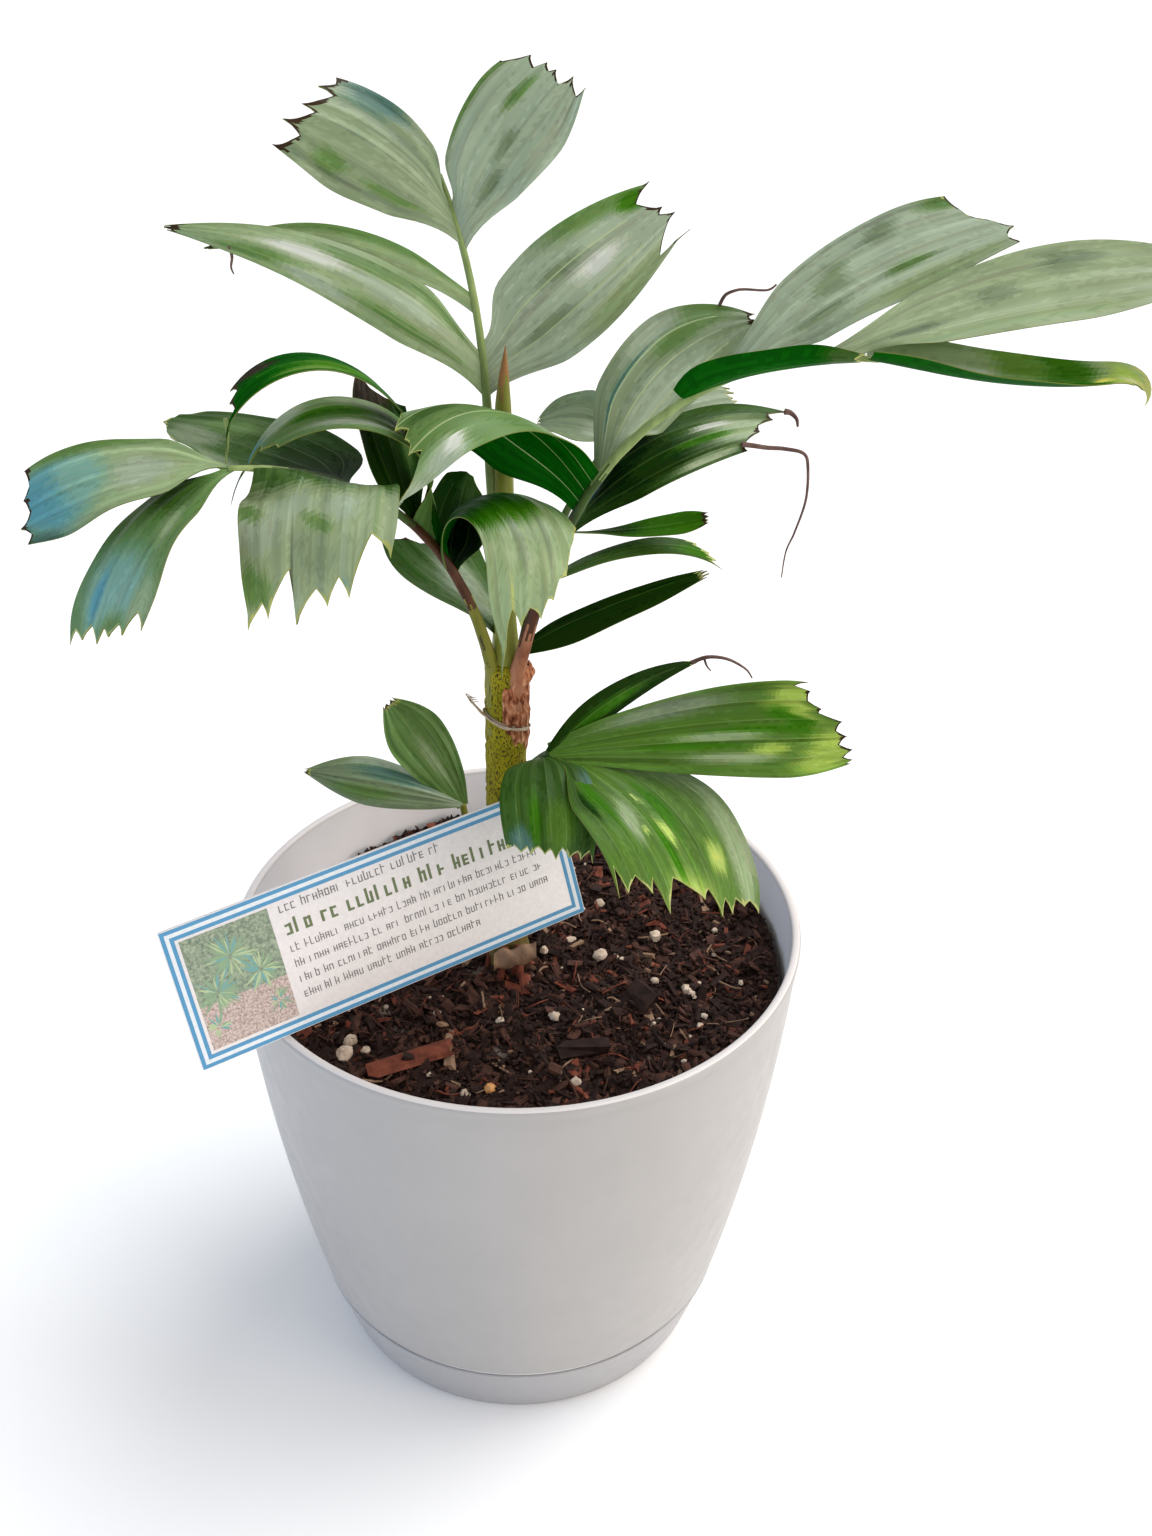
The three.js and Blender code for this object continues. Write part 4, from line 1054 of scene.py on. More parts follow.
STALKS = {
    "top": ([(-5.6, 0.4, 318), (-7.2, 0.8, 338)], (2.4, 2.0), STALK_SKIN, ((0, GREEN_STALK),)),
    "right": ([(-2.6, -2.0, 262), (-1.4, -3.6, 272)], (5.2, 3.4), 0.96,
              ((0, DRY_STALK), (0.07, RED_STALK), (0.31, DARK_STALK), (0.44, GREEN_STALK))),
    "left": ([(-5.2, -1.0, 258), (-6.6, -2.0, 270)], (5.4, 3.8), 0.86,
             ((0, OLIVE_STALK), (0.2, RED_STALK), (0.5, DARK_STALK), (0.85, GREEN_STALK))),
    "back": ([(-2.4, 2.0, 262), (-1.0, 3.6, 272)], (4.6, 3.2), STALK_SKIN, ((0, DARK_STALK),)),
    "low": ([(-1.6, -3.5, 231)], (3.0,), STALK_SKIN, ((0, DARK_STALK),)),
    "side": ([(-17, 45, 156)], (2.0,), STALK_SKIN, ((0, OLIVE_STALK),)),
}
random = np.random.default_rng(5)
for name, (foot, foot_radius, skin, kinds) in STALKS.items():
    rib = limb_line(name)
    thick, thin = LIMBS[name]["radius"]
    foot_line = smooth_line(np.concatenate([np.array(foot, float), rib["points"][:2]]),
                            6 * len(foot) + 7)
    foot_line = foot_line[:6 * len(foot)]
    limb_share = np.linspace(0, 1, STALK_STEPS)
    line = np.concatenate([foot_line, along_line(rib, limb_share * rib["long"])])
    below = np.linspace(0, len(foot), len(foot_line), endpoint=False)
    foot_part = np.interp(below, range(len(foot) + 1), [*foot_radius, thick * skin])
    limb_part = (thick + (thin - thick) * np.sqrt(limb_share)) * skin
    ragged = random.normal(0, 0.02, STALK_SIDES)
    share = np.concatenate([0 * below, limb_share])[:-1, None] + ragged
    limits = [start for start, _ in kinds]
    chosen = np.array([kind for _, kind in kinds])
    which = np.clip(np.searchsorted(limits, share, side="right") - 1, 0, None)
    stalk = Parts()
    add_tube(stalk, line, np.concatenate([foot_part, limb_part]), STALK_SIDES, chosen[which],
             ridges=0.035, count=5)
    stalk.make(node_of(name) + "_stalk", STALK_MATERIALS)

# Stem
STEM_MATERIALS = [
    grained_material("stem_bark", ((0.17, 0.145, 0.004), (0.27, 0.235, 0.007), (0.4, 0.315, 0.025)),
                     120, rough=0.65, relief=0.35, upward=0.35, stops=(0.3, 0.5, 0.72),
                     specks=((0.05, 0.035, 0.008), 2300, 0.52), shine=0.08),
    grained_material("stem_foot_bark", ((0.1, 0.075, 0.02), (0.24, 0.185, 0.06)), 150, rough=0.7,
                     relief=0.5, upward=0.3, shine=0.2),
]
BARK, FOOT_BARK = range(len(STEM_MATERIALS))
random = np.random.default_rng(7)
phase = random.uniform(0, 6.28, 8)
heights = np.linspace(STEM_FOOT - STEM_BURIED, STEM_TOP, 170)
z, th = np.meshgrid(heights, around(48), indexing="ij")
share = (z - STEM_FOOT) / (STEM_TOP - STEM_FOOT)
flare = np.clip(1 - (z - STEM_FOOT) / STEM_FOOT_HEIGHT, 0, 1) ** 2
scar = (z - STEM_FOOT - SCAR_FIRST + 0.8 * np.sin(th + phase[0])) % SCAR_STEP - SCAR_CREST
body = STEM_RADIUS + (STEM_TOP_RADIUS - STEM_RADIUS) * share
body = body + (STEM_FOOT_RADIUS - STEM_RADIUS) * flare
body = body + SCAR_SWELL[0] * hump(scar, SCAR_SWELL[1])
body = body - SCAR_GROOVE[0] * hump(scar - SCAR_TO_GROOVE, SCAR_GROOVE[1])
body = body + 0.12 * np.sin(5 * th + 0.05 * z + phase[1]) + 0.07 * np.sin(11 * th + phase[2])
body = body + 0.1 * np.sin(0.7 * z + 3 * th + phase[3])
to_top = np.clip((z - STEM_TOP) / STEM_TOP_ROUND + 1, 0, 1)
body = body * (1 - 0.35 * to_top**2)
rings = np.stack([STEM_X + body * np.cos(th), body * np.sin(th), z], -1).reshape(-1, 3)
ends = [(STEM_X, 0, STEM_FOOT - STEM_BURIED), (STEM_X, 0, STEM_TOP - 0.2)]
browned = STEM_BROWN_TO + random.uniform(-STEM_BROWN_RAGGED, STEM_BROWN_RAGGED,
                                         (len(heights) - 1, th.shape[1]))
kinds = np.where(heights[:-1, None] < browned, FOOT_BARK, BARK)
stem = Parts()
stem.add(np.concatenate([rings, ends]), closed_faces(*z.shape),
         kinds.ravel().tolist() + [FOOT_BARK, BARK] * th.shape[1])
stem.make("stem_bark", STEM_MATERIALS, sharp=60, stands_for=["stem"])

# Young shoot: a folded spear with a dry orange-brown point
SHOOT_MATERIALS = [
    grained_material("shoot_skin", ((0.13, 0.15, 0.015), (0.24, 0.26, 0.04)), 180, rough=0.5,
                     relief=0.2, upward=0.06, shine=0.25),
    grained_material("shoot_dry_point", ((0.16, 0.06, 0.018), (0.38, 0.19, 0.07)), 260,
                     rough=0.65, relief=0.25, upward=0.15, shine=0.2),
]
random = np.random.default_rng(9)
heights = np.concatenate([np.linspace(STEM_TOP - 6, SHOOT_BEND_FROM, 50),
                          np.linspace(SHOOT_BEND_FROM + 1, SHOOT_TIP, 26)])
z, th = np.meshgrid(heights, around(SHOOT_SIDES), indexing="ij")
body = np.interp(z, *zip(*SHOOT_OUTLINE))
to_crease = np.degrees(th) - CREASE_HEADING + (z - STEM_TOP) * CREASE_TWIST
to_crease = (to_crease + 180) % 360 - 180
body = body * (1 - CREASE_DEPTH * hump(to_crease, CREASE_WIDE)) * (1 + 0.02 * np.sin(7 * th))
bend = SHOOT_BEND * np.clip((z - SHOOT_BEND_FROM) / (SHOOT_TIP - SHOOT_BEND_FROM), 0, 1) ** 2
rings = np.stack([STEM_X + bend + body * np.cos(th), body * np.sin(th), z], -1).reshape(-1, 3)
dry = heights[:-1, None] > SHOOT_DRY_FROM + random.uniform(-7, 4, SHOOT_SIDES)
shoot = Parts()
shoot.add(rings, grid_faces(*z.shape, closed=True).tolist(), dry.astype(int).ravel().tolist())
shoot.make("young_shoot_spear", SHOOT_MATERIALS, sharp=70, stands_for=["young_shoot"])

# Dry sheath: papery, torn along its edges, with a swollen knob at its top
DRY_MATERIALS = [
    grained_material("dry_sheath_paper", ((0.1, 0.025, 0.01), (0.34, 0.12, 0.055),
                                          (0.62, 0.34, 0.2)),
                     620, rough=0.8, relief=0.8, upward=0.3, stops=(0.36, 0.5, 0.64), shine=0.08),
    grained_material("dry_fibre", ((0.34, 0.24, 0.15), (0.62, 0.5, 0.36)), 300, relief=0.2),
    grained_material("dry_thread", ((0.06, 0.03, 0.025), (0.2, 0.12, 0.1)), 300, relief=0.2,
                     shine=0.2),
]
PAPER, FIBRE, THREAD = range(len(DRY_MATERIALS))
rows, columns = SHEATH_GRID
s, u = np.meshgrid(np.linspace(0, 1, rows), np.linspace(0, 1, columns), indexing="ij")
turn = SHEATH_FROM + SHEATH_TURN * u
angle = np.radians(turn)
arch = np.sin(np.pi * u)
ragged_low = 1.32 * np.sin(23 * u) + 0.78 * np.sin(51 * u + 1)
ragged_high = 0.77 * np.sin(17 * u + 2) + 0.63 * np.sin(41 * u)
low_edge = SHEATH_LOW + SHEATH_CREST * (1 - arch) + ragged_low
high_edge = STEM_TOP - SHEATH_DROP + SHEATH_CREST * arch + ragged_high
z = low_edge + (high_edge - low_edge) * s
knob = hump(z - KNOB_HEIGHT, KNOB_REACH[0]) * hump(turn - KNOB_HEADING, KNOB_REACH[1])
ring = sum(swell * hump(z - height, reach) for height, swell, reach in SHEATH_RINGS)
wrinkle = 0.22 * np.sin(0.9 * z + 6 * u) + 0.18 * np.sin(40 * u + 0.3 * z)
radius = STEM_TOP_RADIUS + SHEATH_CLEAR + KNOB_SWELL * knob + ring * arch + wrinkle
sides = [np.stack([STEM_X + r * np.cos(angle), r * np.sin(angle), z], -1).reshape(-1, 3)
         for r in (radius, radius - SHEATH_THICK)]
sheath = Parts()
sheath.add(np.concatenate(sides), sheet_faces(rows, columns)[0], PAPER)
sheath.make("dry_sheath_paper", DRY_MATERIALS, sharp=50, stands_for=["dry_sheath"])

# Torn fibre ring round the stem, with a curl that stands off on its left
tie = Parts()
for k in range(9):
    turn = np.radians(np.linspace(-178 + 5 * k, 20 + 6 * (k % 3), 26))
    fall = FIBRE_FALL * (turn + np.pi) / (np.pi * 1.1)
    reach = STEM_RADIUS + 0.55 + 0.25 * (k % 4) + 0.15 * np.sin(6 * turn + k)
    add_tube(tie, np.stack([STEM_X + reach * np.cos(turn), reach * np.sin(turn),
                            FIBRE_HEIGHT - fall + 0.35 * (k % 5)], -1), 0.28 - 0.012 * k, 5, FIBRE)
for k in range(6):
    tip = np.array([-14.6 - 0.5 * k, -3.5 + 0.8 * k, 269.5 + 0.5 * (k % 3)])
    add_tube(tie, smooth_line([(-9.5, -4.5, 264.5), (-11.8, -4.8 + 0.2 * k, 266.2), tip,
                               tip + (1.8, -0.6, 1.0 - 0.3 * k)], 16),
             np.linspace(0.4, 0.12, 16), 5, FIBRE)
tie.make("stem_torn_fibres", DRY_MATERIALS)

# Dry threads that hang from leaf tips. Each has its leaflet, its place along and across it, its
# thick and thin radius and its material, then its turns from there to the right and up.
THREAD_MATERIALS = [DRY_MATERIALS[THREAD], STALK_MATERIALS[GREEN_STALK]]
THREADS = (
    (("right", 5), (0.79, 0.93), (0.9, 0.2), 0,
     ((-2, 1.5), (2, 1), (6, 0.4), (11.6, 0), (17.5, -1.5), (19.3, -6), (19.6, -17), (17, -28),
      (14.7, -35), (14, -44))),
    (("right", 5), (1, -0.94), (1.1, 0.4), 0, ((0, 0), (2, -0.5), (4, -2.5), (4.6, -5))),
    (("right", 0), (0.88, -0.97), (0.6, 0.3), 0,
     ((0, 0), (1.5, 2.9), (4, 4.2), (7, 4.7), (13.8, 4.5), (16.5, 6.2))),
    (("low", 0), (0.97, 0), (0.8, 0.25), 0,
     ((0, 0), (4, 1.8), (7.6, 2.1), (12, 1.2), (15.9, -0.9), (18.5, -3), (20.2, -5.7))),
    (("low", 0), (0.97, 0), (0.5, 0.2), 0, ((4, 1.8), (5, -1), (6.5, -3))),
    (("top", 3), (0.82, -0.6), (0.6, 0.2), 0, ((0, 0), (0.5, -3), (0, -6), (0.6, -8))),
    (("left", 1), (0.985, 0), (0.7, 0.2), 1, ((0, 0), (0.2, -3), (0, -7), (-0.8, -11), (-1.4, -15))),
)


def leaf_point(name, number, share, across):
    """A point of a leaflet, by its place along it and across from its midline."""
    leaf = LEAFLETS[name][number]
    mid, _, side, normal = leaf_frame(leaf, limb_line(name), np.array(share))
    half = leaf["wide"] / 2 * width_share(leaf, np.array(share))
    return mid + side * half * across + normal * leaf.get("cup", 0) * half * across**2


threads = Parts()
for leaf, place, (thick, thin), kind, turns in THREADS:
    tip = leaf_point(*leaf, *place)
    line = smooth_line([tip + (right, 0, up) for right, up in turns], 9 * len(turns))
    add_tube(threads, line, np.linspace(thick, thin, len(line)), 5, kind)
threads.make("leaf_tip_threads", THREAD_MATERIALS)

# Potting mix: a lumpy bed with bark chips, crumbs, splinters and perlite heaped on it
BED_MATERIAL = grained_material(
    "soil_bed", ((0.009, 0.004, 0.003), (0.026, 0.011, 0.008), (0.06, 0.028, 0.02)), 160,
    rough=0.85, relief=1.2, stops=(0.3, 0.55, 0.75), shine=0.2)
CHIP_MATERIALS = [
    grained_material("bark_dark", ((0.011, 0.005, 0.004), (0.04, 0.018, 0.013)), 220, rough=0.78,
                     relief=0.5, shine=0.2),
    grained_material("bark_brown", ((0.035, 0.013, 0.009), (0.1, 0.042, 0.028)), 220, relief=0.5,
                     shine=0.2),
    grained_material("bark_red", ((0.08, 0.018, 0.01), (0.24, 0.065, 0.035)), 200, rough=0.7,
                     relief=0.5, upward=0.3, shine=0.2),
    grained_material("bark_tan", ((0.17, 0.09, 0.05), (0.36, 0.22, 0.13)), 220, upward=0.5),
    grained_material("perlite", ((0.42, 0.3, 0.22), (0.76, 0.63, 0.5)), 400, rough=0.85),
    grained_material("bead_orange", ((0.5, 0.2, 0.05), (0.72, 0.36, 0.12)), 200, relief=0.1,
                     rough=0.4),
]
DARK_BARK, BROWN_BARK, RED_BARK, TAN_BARK, PERLITE, BEAD = range(len(CHIP_MATERIALS))
random = np.random.default_rng(31)
lumps = random.uniform(0, 6.28, 6)


def bed_height(x, y):
    radius = np.hypot(x, y)
    relief = (1.1 * np.sin(0.11 * x + lumps[0]) * np.cos(0.13 * y + lumps[1])
              + 0.8 * np.sin(0.27 * x + 0.2 * y + lumps[2])
              + 0.6 * np.cos(0.41 * y - 0.23 * x + lumps[3])
              + 0.4 * np.sin(0.9 * x + lumps[4]) * np.sin(0.8 * y + lumps[5]))
    bank = BANK * smoothstep((radius - BANK_FROM) / BANK_WIDE)
    from_hollow = np.hypot(x - HOLLOW_PLACE[0], y - HOLLOW_PLACE[1])
    return soil_height(radius) + BED_LIFT + relief + bank - HOLLOW * hump(from_hollow, HOLLOW_REACH)


radius = SOIL_EDGE * np.sqrt(np.linspace(0.0004, 1, BED_RINGS))
r, th = np.meshgrid(radius, around(BED_SPOKES), indexing="ij")
x, y = r * np.cos(th), r * np.sin(th)
z = bed_height(x, y) + random.uniform(-0.4, 0.4, x.shape)
z[-1] = SOIL_LEVEL - SOIL_SKIRT
bed = Parts()
bed.add(np.stack([x, y, z], -1).reshape(-1, 3),
        [*grid_faces(BED_RINGS, BED_SPOKES, closed=True).tolist(), tuple(range(BED_SPOKES))], 0)
bed.make("soil_bed", [BED_MATERIAL])


def turned_frames(yaw, pitch, spin):
    """Rotations for a list of chips, from three angles each."""
    cy, sy, cp, sp = np.cos(yaw), np.sin(yaw), np.cos(pitch), np.sin(pitch)
    cr, sr = np.cos(spin), np.sin(spin)
    return np.stack([
        np.stack([cy * cp, cy * sp * sr - sy * cr, cy * sp * cr + sy * sr], -1),
        np.stack([sy * cp, sy * sp * sr + cy * cr, sy * sp * cr - cy * sr], -1),
        np.stack([-sp, cp * sr, cp * cr], -1)], 1)


def add_chips(parts, places, sizes, kinds, tilt, lift=0.3):
    """Rough six-sided splinters, one at each place, resting on the bed with a random turn."""
    count = len(places)
    ring = around(6)
    section = np.stack([0 * ring, np.cos(ring), np.sin(ring)], -1) * 0.5
    shape = np.concatenate([section + (-0.5, 0, 0), section + (0.5, 0, 0)])
    shape = shape[None] * (1 + random.uniform(-0.35, 0.25, (count, 12, 1)))
    shape[:, :, 1:] *= random.uniform(0.55, 1.1, (count, 12, 1))
    frames = turned_frames(random.uniform(0, 2 * np.pi, count), random.normal(0, tilt, count),
                           random.normal(0, tilt, count))
    points = np.einsum("nij,nkj->nki", frames, shape * sizes[:, None, :])
    heights = bed_height(places[:, 0], places[:, 1]) + sizes[:, 2] * lift
    points = points + np.stack([places[:, 0], places[:, 1], heights], -1)[:, None, :]
    faces = [(k, (k + 1) % 6, 6 + (k + 1) % 6, 6 + k) for k in range(6)]
    faces += [(5, 4, 3, 2, 1, 0), (6, 7, 8, 9, 10, 11)]
    every = [tuple(v + 12 * n for v in face) for n in range(count) for face in faces]
    parts.add(points.reshape(-1, 3), every, np.repeat(kinds, len(faces)).tolist())


def scattered(count, reach):
    """Places spread evenly over a round bed."""
    radius = reach * np.sqrt(random.uniform(0, 1, count))
    turn = random.uniform(0, 2 * np.pi, count)
    return np.stack([radius * np.cos(turn), radius * np.sin(turn)], -1)


crumbs = Parts()
places = scattered(CRUMBS, CRUMBS_REACH)
sizes = random.uniform(*CRUMB_SIZE, (CRUMBS, 3)) * CRUMB_SHAPE
add_chips(crumbs, places, sizes, random.choice([DARK_BARK, BROWN_BARK], CRUMBS, p=[0.8, 0.2]), 0.7)
crumbs.make("soil_crumbs", CHIP_MATERIALS, smooth=False)

bark = Parts()
places = scattered(CHIPS, CHIPS_REACH)
long = random.gamma(2.8, 1.2, CHIPS) + 1.8
sizes = np.stack([long, long * random.uniform(0.3, 0.65, CHIPS), random.uniform(0.8, 2.4, CHIPS)],
                 -1)
add_chips(bark, places, np.minimum(sizes, LARGEST_CHIP),
          random.choice([DARK_BARK, BROWN_BARK, RED_BARK, TAN_BARK], CHIPS,
                        p=[0.56, 0.34, 0.07, 0.03]), 0.38)
# Five large pieces, each with its place, its size and its bark
LARGE_BARK = (((-36, -57), (25, 9, 2.4), RED_BARK), ((-52, -60), (10, 5, 3), BROWN_BARK),
              ((-24, -52), (14, 4, 2), TAN_BARK), ((43, -29), (11, 10, 6), DARK_BARK),
              ((22, -53), (15, 11, 5), DARK_BARK))
places, sizes, kinds = (np.array(column) for column in zip(*LARGE_BARK))
add_chips(bark, places.astype(float), sizes.astype(float), kinds, 0.18, 0.55)
bark.make("soil_bark_chips", CHIP_MATERIALS, smooth=False)

splinters = Parts()
for place in scattered(SPLINTERS, SPLINTERS_REACH):
    heading = random.uniform(0, 2 * np.pi)
    size = random.uniform(*SPLINTER_LONG)
    way = np.array([math.cos(heading), math.sin(heading)]) * size / 2
    ends = [place - way, place + random.normal(0, 0.8, 2), place + way]
    line = [(*p, bed_height(*p) + random.uniform(0.8, 2.6)) for p in ends]
    add_tube(splinters, smooth_line(line, 7), random.uniform(0.15, 0.45), 4,
             int(random.choice([BROWN_BARK, RED_BARK, TAN_BARK], p=[0.5, 0.25, 0.25])))
splinters.make("soil_splinters", CHIP_MATERIALS)


def add_grain(parts, place, size, kind, lift):
    """A rough round grain, its middle this high above the bed."""
    rows, columns = 5, 9
    v, u = np.meshgrid(np.linspace(0.12, 0.88, rows) * np.pi, around(columns), indexing="ij")
    ball = np.stack([np.sin(v) * np.cos(u), np.sin(v) * np.sin(u), np.cos(v)], -1).reshape(-1, 3)
    ball = ball * (1 + random.uniform(-0.22, 0.22, (len(ball), 1))) * size / 2
    faces = grid_faces(rows, columns, closed=True).tolist()
    faces += [tuple(range(columns))[::-1], tuple(range((rows - 1) * columns, rows * columns))]
    parts.add(ball * (1, 1, 0.8) + (*place, bed_height(*place) + lift), faces, kind)


# Grains where the photograph shows them, each as x, y and size; loose ones follow
GRAINS = ((-57.8, -44.6, 5), (-58.5, -53, 6), (-52, -50, 3.5), (29.2, -3.4, 5.5), (30.7, 30, 4),
          (58.6, -21.7, 3.5), (72.5, 14, 2.5), (60.3, -23, 3), (12, -35.4, 4), (18.2, -67, 4),
          (-18, -71.6, 3.6), (50, 8.5, 4.5), (79, -15, 2.5), (-28.7, -32, 3.2), (-6.8, -37.8, 3),
          (48, -17, 3))
perlite = Parts()
for x, y, size in GRAINS:
    add_grain(perlite, (x, y), size, PERLITE, 0.42 * size)
for x, y in scattered(PERLITE_GRAINS, PERLITE_REACH):
    size = random.gamma(2.4, 0.5) + 0.7
    add_grain(perlite, (x, y), min(size, LARGEST_GRAIN), PERLITE, 0.55 * size)
add_grain(perlite, BEAD_PLACE, BEAD_SIZE, BEAD, 0.38 * BEAD_SIZE)
perlite.make("soil_perlite", CHIP_MATERIALS, sharp=40)

# Dried husk and stilt roots at the foot of the stem. Each root has its place and its lean.
ROOTS = (((-7, -14), 2.2), ((0.3, -13.8), -1), ((-11.5, -5), 4))
husk = Parts()
for (x, y), lean in ROOTS:
    ground = bed_height(x, y)
    line = smooth_line([(x, y, ground - 1), (x + 0.3 * lean, y + 2, ground + 5),
                        (x + lean, y + 6.5, ground + 11)], 14)
    add_tube(husk, line, np.linspace(1.5, 1.1, 14), 9, RED_BARK, 0.1, 3)
rows, columns = 18, 12
s, u = np.meshgrid(np.linspace(0, 1, rows), np.linspace(0, 1, columns), indexing="ij")
curl = np.pi * (0.15 + 0.8 * u)
flap = np.stack([HUSK_PLACE[0] + HUSK_WIDE * s,
                 HUSK_PLACE[1] - 4.2 * np.sin(curl) + 0.5 * np.sin(9 * s),
                 HUSK_PLACE[2] + 4.5 * s - 4 * np.cos(curl) + 0.7 * np.sin(14 * s + 5 * u)], -1)
husk.add(flap.reshape(-1, 3), grid_faces(rows, columns).tolist(), TAN_BARK)
husk.make("stem_foot_husk", CHIP_MATERIALS)

# Pot and saucer: moulded plastic, turned

def plastic(name, colour):
    return plain_material(name, colour, scale=30, rough=0.42, change=(0.97, 1.03))


POT_PLASTICS = [plastic("pot_plastic", (0.385, 0.37, 0.36)),
                # Painted highlight: the rim's top is lighter than the wall
                plastic("pot_rim_painted_highlight", (0.66, 0.62, 0.61)),
                # Painted light: the inside wall is lighter where light falls into the pot
                plastic("pot_inner_painted_light", (0.94, 0.92, 0.95)),
                # Painted highlight: the light line at the seam over the saucer
                plastic("pot_seam_painted_highlight", (0.72, 0.71, 0.71))]
WALL_KIND, RIM_HIGHLIGHT_KIND, LIT_INNER_KIND, SEAM_HIGHLIGHT_KIND = range(len(POT_PLASTICS))
SAUCER_PLASTICS = [plastic("saucer_plastic", (0.38, 0.372, 0.378))]


def turned(name, sections, materials, slot):
    """A closed body of revolution. Its profile runs from the axis to the axis in sections, each
    with its material and its points as (radius, height)."""
    profile = np.array([point for _, points in sections for point in points], float)
    by_band = [kind for kind, points in sections for _ in points][1:-2]
    r, th = np.meshgrid(profile[1:-1, 0], around(ROUND_SIDES), indexing="ij")
    z = np.broadcast_to(profile[1:-1, 1][:, None], r.shape)
    rings = np.stack([r * np.cos(th), r * np.sin(th), z], -1).reshape(-1, 3)
    middles = [(0, 0, profile[0, 1]), (0, 0, profile[-1, 1])]
    kinds = np.repeat(by_band, ROUND_SIDES).tolist()
    kinds += [sections[0][0], sections[-1][0]] * ROUND_SIDES
    parts = Parts()
    parts.add(np.concatenate([rings, middles]), closed_faces(*r.shape), kinds)
    parts.make(name, materials, sharp=42, stands_for=[slot])


def arc(centre, radius, start, end, count):
    """Points round a centre, from one angle to another in degrees."""
    a = np.radians(np.linspace(start, end, count))
    return [(centre[0] + radius * math.cos(t), centre[1] + radius * math.sin(t)) for t in a]


def saucer_sections():
    under = [(0, 0), (FOOT_RADIUS - 3, 0),
             *arc((FOOT_RADIUS - 1.9, FOOT_ROUND), FOOT_ROUND, -90, -10, 6)]
    draft = (SEAM_RADIUS - FOOT_RADIUS) / SEAM_HEIGHT
    side = [(FOOT_RADIUS + draft * z, z) for z in (5, 10, 15, 20, 24, 27)]
    lip = [*arc((SEAM_RADIUS - 0.45, SEAM_HEIGHT - 0.45), SEAM_EDGE, 0, 90, 5),
           (SEAM_RADIUS - 2.4, SEAM_HEIGHT),
           *arc((SEAM_RADIUS - 2.6, SEAM_HEIGHT - 0.3), 0.3, 90, 180, 3)]
    inside = [(FOOT_RADIUS - 2, FLOOR_THICK + 1.2), (FOOT_RADIUS - 3.3, FLOOR_THICK),
              (0, FLOOR_THICK)]
    return [(0, under + side + lip + inside)]


def pot_sections():
    foot = FLOOR_THICK + GAP
    step = SEAM_HEIGHT + GAP
    under = [(0, foot), (FOOT_RADIUS - 4, foot), (SEAM_RADIUS - 3.7, step),
             (SEAM_RADIUS - 1.2, step), *arc((SEAM_RADIUS - 1.1, step + 0.6), 0.6, -70, 0, 4)]
    side = [(wall_radius(z), z) for z in np.linspace(SEAM_HEIGHT + 2.5, POT_HEIGHT - 5.5, 26)]
    band = [(RIM_RADIUS - 0.45, POT_HEIGHT - 4.4), (RIM_RADIUS - 0.3, POT_HEIGHT - 4),
            (RIM_RADIUS + 0.25, POT_HEIGHT - 3.5)]
    rim = [*arc((RIM_RADIUS - 1.1, RIM_TOP - RIM_ROUND), RIM_ROUND, -10, 90, 8),
           (RIM_RADIUS - 1.7, RIM_TOP),
           *arc((RIM_RADIUS - 1.7, RIM_TOP - LIP_ROUND), LIP_ROUND, 90, 180, 6)]
    inside = [(wall_radius(z) - WALL - 0.2, z) for z in (177.6, 176, 172, 165, 155, 120, 80, 40)]
    floor = [(FOOT_RADIUS - 6.5, foot + FLOOR_THICK), (0, foot + FLOOR_THICK)]
    # The seam band and the rim's top carry painted highlights, and the inside painted light
    return [(SEAM_HIGHLIGHT_KIND, under), (WALL_KIND, side + band + rim[:4]), (RIM_HIGHLIGHT_KIND, rim[4:-1]),
            (LIT_INNER_KIND, rim[-1:] + inside + floor)]


turned("saucer_body", saucer_sections(), SAUCER_PLASTICS, "saucer")
turned("pot_body", pot_sections(), POT_PLASTICS, "pot")

# Label card: pale face, double blue border, a small picture of undergrowth and lines of print
PRINT_MATERIALS = [
    plain_material(name, colour, scale=700, rough=rough, change=(0.93, 1.05))
    for name, colour, rough in (("card_paper", (0.8, 0.755, 0.745), 0.5),
                                ("print_blue", (0.07, 0.28, 0.5), 0.5),
                                ("print_white", (0.72, 0.76, 0.8), 0.4),
                                ("print_grey", (0.14, 0.13, 0.13), 0.5),
                                ("print_olive", (0.13, 0.17, 0.07), 0.5),
                                ("print_leaf_green", (0.24, 0.36, 0.22), 0.5),
                                ("print_leaf_teal", (0.16, 0.36, 0.34), 0.5),
                                ("print_leaf_pale", (0.42, 0.52, 0.3), 0.5))
]
PRINT_MATERIALS += [
    grained_material("print_ground", ((0.28, 0.2, 0.17), (0.62, 0.5, 0.46)), 1400, rough=0.5,
                     relief=FAINT_RELIEF, stops=(0.35, 0.6)),
    grained_material("print_thicket", ((0.12, 0.17, 0.12), (0.36, 0.42, 0.3)), 900, rough=0.5,
                     relief=FAINT_RELIEF, stops=(0.35, 0.65)),
]
CARD, BLUE, WHITE, GREY, OLIVE, LEAF, TEAL, PALE, GROUND, THICKET = range(len(PRINT_MATERIALS))

heading, lean = math.radians(CARD_HEADING), math.radians(CARD_LEAN)
along = direction(heading, math.radians(CARD_RISE))
towards = np.array([math.sin(heading), -math.cos(heading), 0])
tall = np.cross(towards, along) * math.cos(lean) - towards * math.sin(lean)
face = np.cross(along, tall)


def card_point(u, v, depth):
    """A point on the card, from its lower left corner, in millimetres."""
    return np.array(CARD_FOOT) + along * (u - CARD_LONG / 2) + tall * v + face * depth


